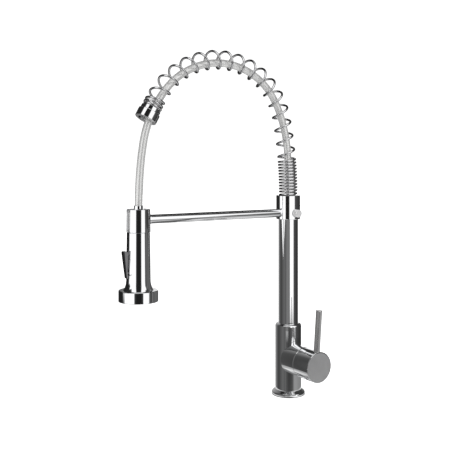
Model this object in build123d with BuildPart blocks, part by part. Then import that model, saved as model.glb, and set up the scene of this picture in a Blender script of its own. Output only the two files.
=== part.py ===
from build123d import *
import math
import os

# Single-lever kitchen faucet with a spring-wound spout arch and a spray head that docks in an arm.
# Millimetres. The origin is on the deck, on the axis of the column. +Z is up, the spout reaches
# towards -Y and the handle's barrel points along +X.

os.makedirs("parts", exist_ok=True)

# ------------------------------------------------------------------ clearances
fixed_gap = 0.02          # radial, pieces that are pressed or screwed together
running_gap = 0.07        # radial, a shaft that turns or slides in its bore
free_gap = 0.3            # between pieces that move past each other

# ------------------------------------------------------------------ base and column
flange_diameter = 50.0
flange_height = 8.0
flange_rim = 4.0          # upright edge below the sloped top
flange_edge = 3.6         # rounding between them
flange_opening = 33.5     # in line with a 35 mm deck hole
foot_floor = 3.0          # thickness of the flange under the column
deck_seal_diameter = 43.6
deck_seal_width = 3.0
deck_seal_depth = 1.6

body_diameter = 39.0
body_top = 102.5
inlet_bore = 9.0          # tapping size of M10 x 1
inlet_thread_length = 14.0
inlet_offset = (-3.0, 7.4)
stud_bore = 6.8           # tapping size of M8
stud_thread_length = 16.0
stud_offset = 9.5
waterway = 5.2

# ------------------------------------------------------------------ barrel and cartridge
barrel_height = 55.0
barrel_diameter = 44.0
barrel_root = 6.0
barrel_root_diameter = 37.0
barrel_root_length = 5.0
barrel_mouth = 39.0
cartridge_diameter = 35.0
cartridge_seat = 15.5
cartridge_shoulder = 33.5
cartridge_nose = 36.0
cartridge_plate = 2.0     # front wall of the housing
cartridge_nose_diameter = 26.0
cartridge_opening = 20.0
cartridge_wall = 3.0
cartridge_base_thickness = 2.0
disc_thickness = 2.0
port_drop = 4.5           # of both inlets of the cartridge, below its axis
outlet_rise = 7.5
port_seal_width = 1.4
port_seal_thickness = 0.8
nut_length = 4.5
pivot_reach = 26.0        # from the column's axis to the cartridge's pivot
pivot_pin_diameter = 3.0
stem_width = 8.0
stem_tail_diameter = 5.2
stem_tail_play = 0.5
stem_swing = 7.4          # half height of the slot that the stem tilts in
dome_radius = 25.2        # ball shape under the handle, about the pivot
dome_wall = 1.8
dome_opening = 27.0

# ------------------------------------------------------------------ handle
handle_rear = 40.8
handle_front = 72.4
handle_wall = 1.2
handle_cavity_length = 11.2
face_disc_diameter = 41.2
face_disc_thickness = 0.8
handle_edge = 0.5
lever_diameter = 9.0
lever_reach = 66.2
lever_length = 59.8       # above the handle's cap
lever_seat_depth = 8.0
lever_lean = 5.0          # degrees, away from the column
grub_diameter = 5.0
handle_grub_reach = 58.0
grub_length = 6.0
stem_end = 64.0

# ------------------------------------------------------------------ swivel and riser
riser_diameter = 29.5
riser_wall = 1.75
swivel_bore_diameter = 33.0
swivel_floor = 84.0
washer_thickness = 1.0
spigot_flange = 2.5
spigot_diameter = 19.96
spigot_foot = 67.0
spigot_plug = 16.5
spigot_bore = 12.0
o_ring_section = 1.6
o_ring_heights = (70.5, 76.5)
bush_top = 102.4
groove_height = 95.0
groove_width = 5.6
groove_depth = 0.8
swivel_ring_rise = 4.0

# ------------------------------------------------------------------ collar, arm and holder
collar_diameter = 36.0
collar_below_arm = 9.3
collar_above_arm = 26.1
riser_above_arm = 14.7
collar_edge = 0.5
seat_flange = 3.3
seat_plug = 16.0
seat_bore = 8.0
knob_diameter = 11.6
knob_length = 7.6
knob_shank_diameter = 5.0
knob_edge = 0.8
arm_height = 271.3
arm_diameter = 12.4
spout_reach = 249.0
holder_below_arm = 16.0
holder_above_arm = 14.1
holder_diameter = 32.4    # at the bottom
holder_top_diameter = 31.6
holder_bore = 27.8
holder_slot = 11.8        # lets the hose through
holder_edge = 0.4
boss_diameter = 14.2
boss_length = 0.5
liner_wall = 0.9
liner_inset = 1.8

# ------------------------------------------------------------------ spring and hose
wire_diameter = 3.2
coil_diameter = 24.8      # between the centres of the wire
arch_foot_run = 9.08      # straight run of the spring above its first turn
arch_arcs = ((504.9, 12.8), (101.1, 53.6), (121.2, 63.9), (112.7, 20.5))   # radius, degrees
arch_end_run = 32.2
foot_turns = 13
open_turns = 15.25
end_turns = 2
foot_pitch = 4.55
end_pitch = 4.4
spans_per_turn = 4
end_cap_diameter = 30.5
end_cap_length = 12.0
end_cap_step_diameter = 27.4
end_cap_step_length = 5.5
end_cap_bore = 20.8
end_cap_edge = 0.6

hose_diameter = 10.4
# forward reach of each point of the hose's route and its height above the arch's springing
coil_hose_points = [
    (0.0, 28.0), (0.6, 57.0), (4.0, 84.0), (12.5, 113.5), (26.5, 141.5), (46.0, 163.5),
    (73.5, 180.0), (106.0, 188.2), (140.0, 187.0), (173.0, 175.6), (199.5, 157.2), (222.0, 128.5),
]
hose_joint = (230.4, 110.5)           # where the two stretches meet, inside the end cap
free_hose_points = [(238.8, 92.5), (245.5, 52.0)]
hose_end_bend = (0.5, 32.0)           # last bend of the hose, behind and above the head's neck
hose_end_gap = 0.1

# ------------------------------------------------------------------ spray head
neck_diameter = 25.4
neck_below_holder_top = 4.4
neck_edge = 1.2
neck_plug_diameter = 18.0
neck_plug = 12.0
crimp_length = 9.0
crimp_wall = 0.7
head_below_holder = 0.4
head_top_diameter = 31.0
head_length = 63.9        # down to its waist, where the flare starts
head_waist_diameter = 32.6
head_foot_diameter = 40.4
head_edge = 0.5
head_bore = 8.0
flare_height = 12.6
skirt_height = 15.0
skirt_diameter = 53.0
skirt_wall = 2.6
skirt_edge = 1.2
spigot_of_head_diameter = 24.0
plate_thickness = 2.4
plate_inset = 1.0
nozzle_rings = ((14, 12.5), (18, 16.5), (24, 20.5))   # count and radius
nozzle_diameter = 1.8
nozzle_length = 0.9
aerator_diameter = 18.0
aerator_wall = 1.4
aerator_height = 7.0
aerator_bars = 4
aerator_bar_width = 0.8
trigger_width = 8.4           # at its top
trigger_foot_width = 6.6
trigger_facet = 1.7
trigger_taper = 8.0           # height over which it widens from its foot
trigger_inner_radius = 16.9   # of the inner face, from the head's axis
trigger_knuckle = 1.5         # material between the pivot and the recess's floor
trigger_length = 35.6
trigger_foot_rise = 4.0       # above the waist
trigger_pivot_rise = 4.6      # above its foot
trigger_pivot_depth = 14.6    # from the head's axis
trigger_pin_diameter = 2.5
trigger_pin_length = 12.4
trigger_foot_radius = 19.0    # of the outer face, from the head's axis
trigger_top_radius = 23.8
trigger_slot_depth = 12.6     # floor of its recess, from the head's axis
trigger_travel = 7.0          # degrees
plunger_diameter = 6.0
plunger_rise = 22.4           # above the trigger's pivot
plunger_length = 9.6

# ------------------------------------------------------------------ worked out from the sizes above
port_height = barrel_height - port_drop
outlet_height = barrel_height + outlet_rise
lever_top = barrel_height + barrel_diameter / 2 + lever_length
riser_top = arm_height + riser_above_arm
collar_bottom = arm_height - collar_below_arm
collar_top = arm_height + collar_above_arm
holder_bottom = arm_height - holder_below_arm
holder_top = arm_height + holder_above_arm
neck_top = holder_top - neck_below_holder_top
head_top = holder_bottom - head_below_holder
head_waist = head_top - head_length
skirt_top = head_waist - flare_height
skirt_bottom = skirt_top - skirt_height
trigger_foot = head_waist + trigger_foot_rise
trigger_top = trigger_foot + trigger_length
trigger_pivot_height = trigger_foot + trigger_pivot_rise
plunger_height = trigger_pivot_height + plunger_rise
flange_radius = flange_diameter / 2
body_radius = body_diameter / 2
barrel_radius = barrel_diameter / 2
riser_radius = riser_diameter / 2
riser_inner_radius = riser_radius - riser_wall
spigot_flange_bottom = swivel_floor + washer_thickness
riser_bottom = spigot_flange_bottom + spigot_flange
barrel_axis = Axis((0, 0, barrel_height), (1, 0, 0))
pivot_point = (pivot_reach, 0, barrel_height)
handle_cavity_end = handle_rear + handle_cavity_length
cavity_radius = cartridge_diameter / 2 - cartridge_wall
cavity_front = cartridge_shoulder - cartridge_plate
fixed_disc_front = cartridge_seat + cartridge_base_thickness + disc_thickness
moving_disc_front = fixed_disc_front + disc_thickness + 0.3
seat_top = riser_top + seat_flange
spring_foot = seat_top + wire_diameter / 2 + fixed_gap
arch_springing = spring_foot + arch_foot_run
head_axis = Axis((0, -spout_reach, 0), (0, 0, 1))
head_plane = Plane(origin=(0, -spout_reach, 0), x_dir=(1, 0, 0), z_dir=(0, -1, 0))
head_side_plane = Plane(origin=(0, -spout_reach, 0), x_dir=(0, -1, 0), z_dir=(-1, 0, 0))
trigger_pivot_plane = Plane(
    origin=(0, -spout_reach - trigger_pivot_depth, trigger_pivot_height),
    x_dir=(0, -1, 0),
    z_dir=(-1, 0, 0),
)
plate_bottom = skirt_bottom + plate_inset
chamber_bottom = plate_bottom + plate_thickness
chamber_top = skirt_top - skirt_wall


def across(height, reach=0.0):
    """A level plane at a height, centred on the column or, with a reach, on the spray head."""
    return Plane(origin=(0, -reach, height))


def upright(forward):
    """A plane square to the barrel's axis, centred on it."""
    return Plane(origin=(forward, 0, barrel_height), x_dir=(0, 1, 0), z_dir=(1, 0, 0))


def on_ball(ball_radius, radius):
    """Point of a ball about the pivot that lies at a radius from the barrel's axis."""
    return (pivot_reach + math.sqrt(ball_radius**2 - radius**2), barrel_height + radius)


# ================================================================== column and its valve
# The flange rests on the deck and takes the foot of the column in a shallow recess.
with BuildPart() as base_flange:
    with BuildSketch(Plane.XZ):
        with BuildLine():
            Polyline(
                (flange_opening / 2, 0), (flange_radius, 0), (flange_radius, flange_rim),
                (body_radius + 0.4, flange_height), (body_radius + fixed_gap, flange_height),
                (body_radius + fixed_gap, foot_floor), (flange_opening / 2, foot_floor),
                close=True,
            )
        make_face()
    revolve(axis=Axis.Z)
    with BuildSketch(Plane.XY):
        Circle((deck_seal_diameter + deck_seal_width) / 2)
        Circle((deck_seal_diameter - deck_seal_width) / 2, mode=Mode.SUBTRACT)
    extrude(amount=deck_seal_depth, mode=Mode.SUBTRACT)
    fillet(base_flange.edges().filter_by(GeomType.CIRCLE).group_by(Axis.Z)[-2], flange_edge)
base_flange.part.label = "base_flange"
export_step(base_flange.part, "parts/base_flange.step")

with BuildPart() as deck_seal:
    with BuildSketch(Plane.XY):
        Circle((deck_seal_diameter + deck_seal_width) / 2 - fixed_gap)
        Circle((deck_seal_diameter - deck_seal_width) / 2 + fixed_gap, mode=Mode.SUBTRACT)
    extrude(amount=deck_seal_depth)
deck_seal.part.label = "deck_seal"
export_step(deck_seal.part, "parts/deck_seal.step")

# One casting: the column's foot, the side barrel, the waterways and the bore for the swivel.
with BuildPart() as valve_body:
    with BuildSketch(Plane.XY.offset(foot_floor)):
        Circle(body_radius)
    extrude(amount=body_top - foot_floor)
    with BuildSketch(Plane.XZ):
        with BuildLine():
            Polyline(
                (barrel_root, barrel_height), (barrel_root, barrel_height + barrel_root_diameter / 2),
                (barrel_root + barrel_root_length, barrel_height + barrel_radius),
                (barrel_mouth, barrel_height + barrel_radius), (barrel_mouth, barrel_height),
                close=True,
            )
        make_face()
    revolve(axis=barrel_axis)
    # the mouth of the barrel is rounded about the pivot, so that the handle can tilt over it
    with BuildSketch(Plane.XZ):
        with BuildLine():
            rounding_start = pivot_reach + math.sqrt(dome_radius**2 - barrel_radius**2)
            mouth_radius = math.sqrt(dome_radius**2 - (barrel_mouth - pivot_reach) ** 2)
            half_way = (rounding_start + barrel_mouth) / 2
            half_way_radius = math.sqrt(dome_radius**2 - (half_way - pivot_reach) ** 2)
            ThreePointArc(
                (rounding_start, barrel_height + barrel_radius),
                (half_way, barrel_height + half_way_radius),
                (barrel_mouth, barrel_height + mouth_radius),
            )
            Polyline(
                (barrel_mouth, barrel_height + mouth_radius),
                (barrel_mouth + 1, barrel_height + mouth_radius),
                (barrel_mouth + 1, barrel_height + barrel_radius + 1),
                (rounding_start, barrel_height + barrel_radius + 1),
                (rounding_start, barrel_height + barrel_radius),
            )
        make_face()
    revolve(axis=barrel_axis, mode=Mode.SUBTRACT)
    # cartridge chamber
    with BuildSketch(upright(cartridge_seat)):
        Circle(cartridge_diameter / 2 + 0.1)
    extrude(amount=barrel_mouth - cartridge_seat + 1, mode=Mode.SUBTRACT)
    # swivel bore, and the smaller bore below it that the spigot's rings seal in
    with BuildSketch(Plane.XY.offset(swivel_floor)):
        Circle(swivel_bore_diameter / 2)
    extrude(amount=body_top - swivel_floor, mode=Mode.SUBTRACT)
    with BuildSketch(Plane.XY.offset(spigot_foot - 1)):
        Circle(spigot_diameter / 2 + running_gap)
    extrude(amount=swivel_floor - spigot_foot + 1, mode=Mode.SUBTRACT)
    # waterways: both inlets up and across to the seat, the outlet from the seat up to the swivel
    with BuildSketch(Plane.XY.offset(foot_floor)):
        with Locations((inlet_offset[0], inlet_offset[1]), (inlet_offset[0], -inlet_offset[1])):
            Circle(inlet_bore / 2)
    extrude(amount=inlet_thread_length, mode=Mode.SUBTRACT)
    with BuildSketch(Plane.XY.offset(foot_floor)):
        with Locations((inlet_offset[0], inlet_offset[1]), (inlet_offset[0], -inlet_offset[1])):
            Circle(waterway / 2)
    extrude(amount=port_height - foot_floor, mode=Mode.SUBTRACT)
    with BuildSketch(upright(inlet_offset[0] - waterway / 2)):
        with Locations((inlet_offset[1], port_height - barrel_height),
                       (-inlet_offset[1], port_height - barrel_height)):
            Circle(waterway / 2)
    extrude(amount=cartridge_seat - inlet_offset[0] + waterway / 2, mode=Mode.SUBTRACT)
    with BuildSketch(upright(0)):
        with Locations((0, outlet_height - barrel_height)):
            Circle(waterway / 2)
    extrude(amount=cartridge_seat, mode=Mode.SUBTRACT)
    with BuildSketch(Plane.XY.offset(outlet_height)):
        Circle(waterway / 2)
    extrude(amount=spigot_foot - outlet_height, mode=Mode.SUBTRACT)
    with BuildSketch(Plane.XY.offset(foot_floor)):
        with Locations((stud_offset, 0)):
            Circle(stud_bore / 2)
    extrude(amount=stud_thread_length, mode=Mode.SUBTRACT)
    # hole for the screw that keeps the riser down, at the back
    with BuildSketch(Plane(origin=(0, 0, groove_height), x_dir=(1, 0, 0), z_dir=(0, 1, 0))):
        Circle(grub_diameter / 2 + fixed_gap)
    extrude(amount=body_radius + 1, mode=Mode.SUBTRACT)
valve_body.part.label = "valve_body"
export_step(valve_body.part, "parts/valve_body.step")

# Sloped ring that closes the gap between the column and the riser.
with BuildPart() as swivel_ring:
    with BuildSketch(Plane.XZ):
        with BuildLine():
            inner = riser_radius + running_gap
            outer_low = (body_radius, body_top)
            outer_high = (inner + 0.6, body_top + swivel_ring_rise)
            bulge = ((body_radius + inner) / 2 + 0.8, body_top + swivel_ring_rise * 0.72)
            ThreePointArc(outer_low, bulge, outer_high)
            Polyline(outer_high, (inner, body_top + swivel_ring_rise), (inner, body_top), outer_low)
        make_face()
    revolve(axis=Axis.Z)
swivel_ring.part.label = "swivel_ring"
export_step(swivel_ring.part, "parts/swivel_ring.step")

with BuildPart() as thrust_washer:
    with BuildSketch(Plane.XY.offset(swivel_floor)):
        Circle(swivel_bore_diameter / 2 - running_gap)
        Circle(spigot_diameter / 2 + free_gap, mode=Mode.SUBTRACT)
    extrude(amount=washer_thickness)
thrust_washer.part.label = "thrust_washer"
export_step(thrust_washer.part, "parts/thrust_washer.step")

# Acetal bush between the column's bore and the riser.
with BuildPart() as swivel_bush:
    with BuildSketch(Plane.XY.offset(riser_bottom)):
        Circle(swivel_bore_diameter / 2 - fixed_gap)
        Circle(riser_radius + running_gap, mode=Mode.SUBTRACT)
    extrude(amount=bush_top - riser_bottom)
    with BuildSketch(Plane(origin=(0, 0, groove_height), x_dir=(1, 0, 0), z_dir=(0, 1, 0))):
        Circle(grub_diameter / 2 + 0.1)
    extrude(amount=body_radius, mode=Mode.SUBTRACT)
swivel_bush.part.label = "swivel_bush"
export_step(swivel_bush.part, "parts/swivel_bush.step")

# Grub screw whose tip runs in the riser's groove, so that the spout turns but can't lift out.
with BuildPart() as retaining_screw:
    tip = riser_radius - groove_depth + 0.2
    with BuildSketch(Plane(origin=(0, tip, groove_height), x_dir=(1, 0, 0), z_dir=(0, 1, 0))):
        Circle(grub_diameter / 2)
    extrude(amount=body_radius - 0.6 - tip)
    with BuildSketch(Plane(origin=(0, body_radius - 0.6, groove_height), x_dir=(1, 0, 0), z_dir=(0, 1, 0))):
        RegularPolygon(1.25, 6, major_radius=False)
    extrude(amount=-2, mode=Mode.SUBTRACT)
retaining_screw.part.label = "retaining_screw"
export_step(retaining_screw.part, "parts/retaining_screw.step")

# ------------------------------------------------------------------ cartridge, fixed pieces
port_places = (
    (inlet_offset[1], port_height - barrel_height),
    (-inlet_offset[1], port_height - barrel_height),
    (0, outlet_height - barrel_height),
)

with BuildPart() as cartridge_housing:
    with BuildSketch(upright(cartridge_seat)):
        Circle(cartridge_diameter / 2)
    extrude(amount=cartridge_shoulder - cartridge_seat)
    with BuildSketch(upright(cartridge_shoulder)):
        Circle(cartridge_nose_diameter / 2)
    extrude(amount=cartridge_nose - cartridge_shoulder)
    with BuildSketch(upright(cartridge_seat)):
        Circle(cavity_radius)
    extrude(amount=cavity_front - cartridge_seat, mode=Mode.SUBTRACT)
    with BuildSketch(upright(cartridge_seat)):
        Circle(cartridge_opening / 2)
    extrude(amount=cartridge_nose - cartridge_seat, mode=Mode.SUBTRACT)
cartridge_housing.part.label = "cartridge_housing"
export_step(cartridge_housing.part, "parts/cartridge_housing.step")

with BuildPart() as cartridge_base:
    with BuildSketch(upright(cartridge_seat)):
        Circle(cavity_radius - fixed_gap)
        with Locations(*port_places):
            Circle(waterway / 2, mode=Mode.SUBTRACT)
    extrude(amount=cartridge_base_thickness)
    with BuildSketch(upright(cartridge_seat)):
        with Locations(*port_places):
            Circle(waterway / 2 + port_seal_width)
    extrude(amount=port_seal_thickness, mode=Mode.SUBTRACT)
cartridge_base.part.label = "cartridge_base"
export_step(cartridge_base.part, "parts/cartridge_base.step")

with BuildPart() as port_seals:
    with BuildSketch(upright(cartridge_seat)):
        with Locations(*port_places):
            Circle(waterway / 2 + port_seal_width - fixed_gap)
            Circle(waterway / 2, mode=Mode.SUBTRACT)
    extrude(amount=port_seal_thickness)
port_seals.part.label = "port_seals"
export_step(port_seals.part, "parts/port_seals.step")

with BuildPart() as fixed_disc:
    with BuildSketch(upright(fixed_disc_front - disc_thickness)):
        Circle(cavity_radius - fixed_gap)
        with Locations(*port_places):
            Circle(waterway / 2, mode=Mode.SUBTRACT)
    extrude(amount=disc_thickness)
fixed_disc.part.label = "fixed_disc"
export_step(fixed_disc.part, "parts/fixed_disc.step")

# Ring nut, screwed into the barrel, that holds the cartridge against its seat.
with BuildPart() as cartridge_nut:
    with BuildSketch(upright(cartridge_shoulder)):
        Circle(cartridge_diameter / 2 + 0.1 - fixed_gap)
        Circle(cartridge_nose_diameter / 2 + fixed_gap, mode=Mode.SUBTRACT)
    extrude(amount=nut_length)
    with BuildSketch(upright(cartridge_shoulder + nut_length)):
        with PolarLocations(cartridge_diameter / 2 - 2, 4):
            Rectangle(4, 3)
    extrude(amount=-1.5, mode=Mode.SUBTRACT)
cartridge_nut.part.label = "cartridge_nut"
export_step(cartridge_nut.part, "parts/cartridge_nut.step")

# Ball-shaped cover on the barrel's mouth, under the handle.
with BuildPart() as dome_cover:
    inner_dome = dome_radius - dome_wall
    opening_radius = dome_opening / 2
    skirt_outer = cartridge_diameter / 2 + 0.1 - fixed_gap
    skirt_inner = skirt_outer - 1.4
    skirt_end = cartridge_shoulder + nut_length + 0.2

    with BuildSketch(Plane.XZ):
        with BuildLine():
            dome_edge = (barrel_mouth, barrel_height + math.sqrt(
                dome_radius**2 - (barrel_mouth - pivot_reach) ** 2))
            ThreePointArc(dome_edge, on_ball(dome_radius, (opening_radius + skirt_outer) / 2), on_ball(dome_radius, opening_radius))
            Line(on_ball(dome_radius, opening_radius), on_ball(inner_dome, opening_radius))
            ThreePointArc(
                on_ball(inner_dome, opening_radius),
                on_ball(inner_dome, (opening_radius + skirt_inner) / 2),
                on_ball(inner_dome, skirt_inner),
            )
            Polyline(
                on_ball(inner_dome, skirt_inner), (skirt_end, barrel_height + skirt_inner),
                (skirt_end, barrel_height + skirt_outer), (barrel_mouth, barrel_height + skirt_outer),
                dome_edge,
            )
        make_face()
    revolve(axis=barrel_axis)
dome_cover.part.label = "dome_cover"
export_step(dome_cover.part, "parts/dome_cover.step")

# ------------------------------------------------------------------ cartridge, turning pieces
# The carrier turns with the handle to set the warmth. The stem tilts in its slot.
with BuildPart() as stem_carrier:
    with BuildSketch(upright(moving_disc_front)):
        Circle(cavity_radius - free_gap)
        Rectangle(stem_width + 2 * 0.2, 2 * stem_swing, mode=Mode.SUBTRACT)
    extrude(amount=cavity_front - free_gap - moving_disc_front)
    with BuildSketch(Plane(origin=(pivot_reach, 0, barrel_height), x_dir=(1, 0, 0), z_dir=(0, 1, 0))):
        Circle(pivot_pin_diameter / 2 + fixed_gap)
    extrude(amount=cavity_radius, both=True, mode=Mode.SUBTRACT)
stem_carrier.part.label = "stem_carrier"
export_step(stem_carrier.part, "parts/stem_carrier.step")

with BuildPart() as pivot_pin:
    with BuildSketch(Plane(origin=(pivot_reach, 0, barrel_height), x_dir=(1, 0, 0), z_dir=(0, 1, 0))):
        Circle(pivot_pin_diameter / 2)
    extrude(amount=cavity_radius - 1.4, both=True)
pivot_pin.part.label = "pivot_pin"
export_step(pivot_pin.part, "parts/pivot_pin.step")

# The moving disc slides over the fixed one as the stem tilts.
with BuildPart() as moving_disc:
    with BuildSketch(upright(fixed_disc_front)):
        Circle(cavity_radius - 2.2)
    extrude(amount=disc_thickness)
    with BuildSketch(upright(fixed_disc_front + disc_thickness)):
        Circle(stem_tail_diameter / 2 + stem_tail_play)
    extrude(amount=-1.4, mode=Mode.SUBTRACT)
moving_disc.part.label = "moving_disc"
export_step(moving_disc.part, "parts/moving_disc.step")

# ------------------------------------------------------------------ handle
with BuildPart() as cartridge_stem:
    with BuildSketch(upright(pivot_reach - 3)):
        Rectangle(stem_width, stem_width)
    extrude(amount=stem_end - pivot_reach + 3)
    with BuildSketch(upright(pivot_reach - 3)):
        Circle(stem_tail_diameter / 2)
    extrude(amount=moving_disc_front - 0.9 - (pivot_reach - 3))
    with BuildSketch(Plane(origin=pivot_point, x_dir=(1, 0, 0), z_dir=(0, 1, 0))):
        Circle(pivot_pin_diameter / 2 + running_gap)
    extrude(amount=stem_width, both=True, mode=Mode.SUBTRACT)
cartridge_stem.part.label = "cartridge_stem"
export_step(cartridge_stem.part, "parts/cartridge_stem.step")

lever_plane = Plane(
    origin=(lever_reach, 0, barrel_height + barrel_radius - lever_seat_depth),
    x_dir=(0, 1, 0),
    z_dir=(math.sin(math.radians(lever_lean)), 0, math.cos(math.radians(lever_lean))),
)

# Handle cap: a cylinder in line with the barrel, hollow at the back to clear the ball cover.
with BuildPart() as handle_cap:
    with BuildSketch(upright(handle_rear)):
        Circle(barrel_radius)
    extrude(amount=handle_front - handle_rear)
    chamfer(handle_cap.edges().group_by(Axis.X)[-1], handle_edge)
    with BuildSketch(upright(handle_rear)):
        Circle(barrel_radius - handle_wall)
    extrude(amount=handle_cavity_length, mode=Mode.SUBTRACT)
    with BuildSketch(upright(handle_front)):
        Circle(face_disc_diameter / 2 + fixed_gap)
    extrude(amount=-face_disc_thickness, mode=Mode.SUBTRACT)
    with BuildSketch(upright(handle_cavity_end)):
        Rectangle(stem_width + 2 * fixed_gap, stem_width + 2 * fixed_gap)
    extrude(amount=stem_end - handle_cavity_end, mode=Mode.SUBTRACT)
    with BuildSketch(lever_plane):
        Circle(lever_diameter / 2 + fixed_gap)
    extrude(amount=lever_seat_depth + 2, mode=Mode.SUBTRACT)
    with BuildSketch(Plane(origin=(handle_grub_reach, 0, barrel_height), x_dir=(1, 0, 0), z_dir=(0, 0, -1))):
        Circle(grub_diameter / 2 + fixed_gap)
    extrude(amount=barrel_radius + 1, mode=Mode.SUBTRACT)
handle_cap.part.label = "handle_cap"
export_step(handle_cap.part, "parts/handle_cap.step")

with BuildPart() as handle_face:
    with BuildSketch(upright(handle_front - face_disc_thickness)):
        Circle(face_disc_diameter / 2)
    extrude(amount=face_disc_thickness)
handle_face.part.label = "handle_face"
export_step(handle_face.part, "parts/handle_face.step")

with BuildPart() as lever_pin:
    with BuildSketch(lever_plane):
        Circle(lever_diameter / 2)
    extrude(amount=lever_top - barrel_height - barrel_radius + lever_seat_depth)
    chamfer(lever_pin.edges().group_by(Axis.Z)[-1], 0.6)
lever_pin.part.label = "lever_pin"
export_step(lever_pin.part, "parts/lever_pin.step")

with BuildPart() as handle_screw:
    stem_side = barrel_height - stem_width / 2
    with BuildSketch(Plane(origin=(handle_grub_reach, 0, stem_side), x_dir=(1, 0, 0), z_dir=(0, 0, -1))):
        Circle(grub_diameter / 2)
    extrude(amount=grub_length)
    with BuildSketch(Plane(origin=(handle_grub_reach, 0, stem_side - grub_length), x_dir=(1, 0, 0),
                           z_dir=(0, 0, -1))):
        RegularPolygon(1.25, 6, major_radius=False)
    extrude(amount=-2.5, mode=Mode.SUBTRACT)
handle_screw.part.label = "handle_screw"
export_step(handle_screw.part, "parts/handle_screw.step")

# ================================================================== riser and its fittings
with BuildPart() as riser:
    with BuildSketch(Plane.XY.offset(riser_bottom)):
        Circle(riser_radius)
        Circle(riser_inner_radius, mode=Mode.SUBTRACT)
    extrude(amount=riser_top - riser_bottom)
    with BuildSketch(Plane.XY.offset(groove_height - groove_width / 2)):
        Circle(riser_radius)
        Circle(riser_radius - groove_depth, mode=Mode.SUBTRACT)
    extrude(amount=groove_width, mode=Mode.SUBTRACT)
riser.part.label = "riser"
export_step(riser.part, "parts/riser.step")

# Brass spigot, pressed into the riser's foot; it turns on two rings in the column's inner bore.
with BuildPart() as swivel_spigot:
    with BuildSketch(Plane.XY.offset(spigot_foot)):
        Circle(spigot_diameter / 2)
    extrude(amount=spigot_flange_bottom - spigot_foot)
    with BuildSketch(Plane.XY.offset(spigot_flange_bottom)):
        Circle(riser_radius)
    extrude(amount=spigot_flange)
    with BuildSketch(Plane.XY.offset(riser_bottom)):
        Circle(riser_inner_radius - fixed_gap)
    extrude(amount=spigot_plug)
    with BuildSketch(Plane.XY.offset(spigot_foot)):
        Circle(spigot_bore / 2)
    extrude(amount=riser_bottom + spigot_plug - spigot_foot, mode=Mode.SUBTRACT)
    for height in o_ring_heights:
        with BuildSketch(Plane.XY.offset(height - o_ring_section * 0.65)):
            Circle(spigot_diameter / 2)
            Circle(spigot_diameter / 2 - o_ring_section + 0.02, mode=Mode.SUBTRACT)
        extrude(amount=o_ring_section * 1.3, mode=Mode.SUBTRACT)
swivel_spigot.part.label = "swivel_spigot"
export_step(swivel_spigot.part, "parts/swivel_spigot.step")

with BuildPart() as swivel_o_rings:
    with BuildSketch(Plane.XZ):
        with Locations(*[(spigot_diameter / 2 - o_ring_section / 2 + 0.03, height) for height in o_ring_heights]):
            Circle(o_ring_section / 2)
    revolve(axis=Axis.Z)
swivel_o_rings.part.label = "swivel_o_rings"
export_step(swivel_o_rings.part, "parts/swivel_o_rings.step")

# Plug in the riser's top: the hose starts from it and the spring stands on it.
with BuildPart() as spring_seat:
    with BuildSketch(Plane.XY.offset(riser_top - seat_plug)):
        Circle(riser_inner_radius - fixed_gap)
    extrude(amount=seat_plug)
    with BuildSketch(Plane.XY.offset(riser_top)):
        Circle(riser_radius - fixed_gap)
    extrude(amount=seat_flange)
    with BuildSketch(Plane.XY.offset(riser_top - seat_plug)):
        Circle(seat_bore / 2)
    extrude(amount=seat_plug + seat_flange, mode=Mode.SUBTRACT)
spring_seat.part.label = "spring_seat"
export_step(spring_seat.part, "parts/spring_seat.step")

# ------------------------------------------------------------------ collar and docking arm
with BuildPart() as arm_collar:
    with BuildSketch(Plane.XY.offset(collar_bottom)):
        Circle(collar_diameter / 2)
    extrude(amount=collar_top - collar_bottom)
    chamfer(arm_collar.edges().group_by(Axis.Z)[-1], collar_edge)
    chamfer(arm_collar.edges().group_by(Axis.Z)[0], collar_edge)
    with BuildSketch(Plane.XY.offset(collar_bottom)):
        Circle(riser_radius + fixed_gap)
    extrude(amount=collar_top - collar_bottom, mode=Mode.SUBTRACT)
    with BuildSketch(Plane(origin=(0, 0, arm_height), x_dir=(1, 0, 0), z_dir=(0, -1, 0))):
        Circle(arm_diameter / 2 + fixed_gap)
    extrude(amount=collar_diameter, mode=Mode.SUBTRACT)
    with BuildSketch(Plane(origin=(0, 0, arm_height), x_dir=(0, 1, 0), z_dir=(1, 0, 0))):
        Circle(knob_shank_diameter / 2 + running_gap)
    extrude(amount=collar_diameter, mode=Mode.SUBTRACT)
arm_collar.part.label = "arm_collar"
export_step(arm_collar.part, "parts/arm_collar.step")

# Thumb screw that clamps the collar on the riser.
with BuildPart() as lock_knob:
    knob_foot = collar_diameter / 2 + 0.4
    with BuildSketch(Plane(origin=(knob_foot, 0, arm_height), x_dir=(0, 1, 0), z_dir=(1, 0, 0))):
        Circle(knob_diameter / 2)
    extrude(amount=knob_length)
    chamfer(lock_knob.edges().group_by(Axis.X)[-1], knob_edge)
    with BuildSketch(Plane(origin=(knob_foot, 0, arm_height), x_dir=(0, 1, 0), z_dir=(1, 0, 0))):
        Circle(knob_shank_diameter / 2)
    extrude(amount=riser_radius + 0.05 - knob_foot)
lock_knob.part.label = "lock_knob"
export_step(lock_knob.part, "parts/lock_knob.step")

with BuildPart() as docking_arm:
    with BuildSketch(Plane(origin=(0, -riser_radius - 0.1, arm_height), x_dir=(1, 0, 0), z_dir=(0, -1, 0))):
        Circle(arm_diameter / 2)
    extrude(amount=spout_reach - holder_bore / 2 - riser_radius - 0.3)
docking_arm.part.label = "docking_arm"
export_step(docking_arm.part, "parts/docking_arm.step")

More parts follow.
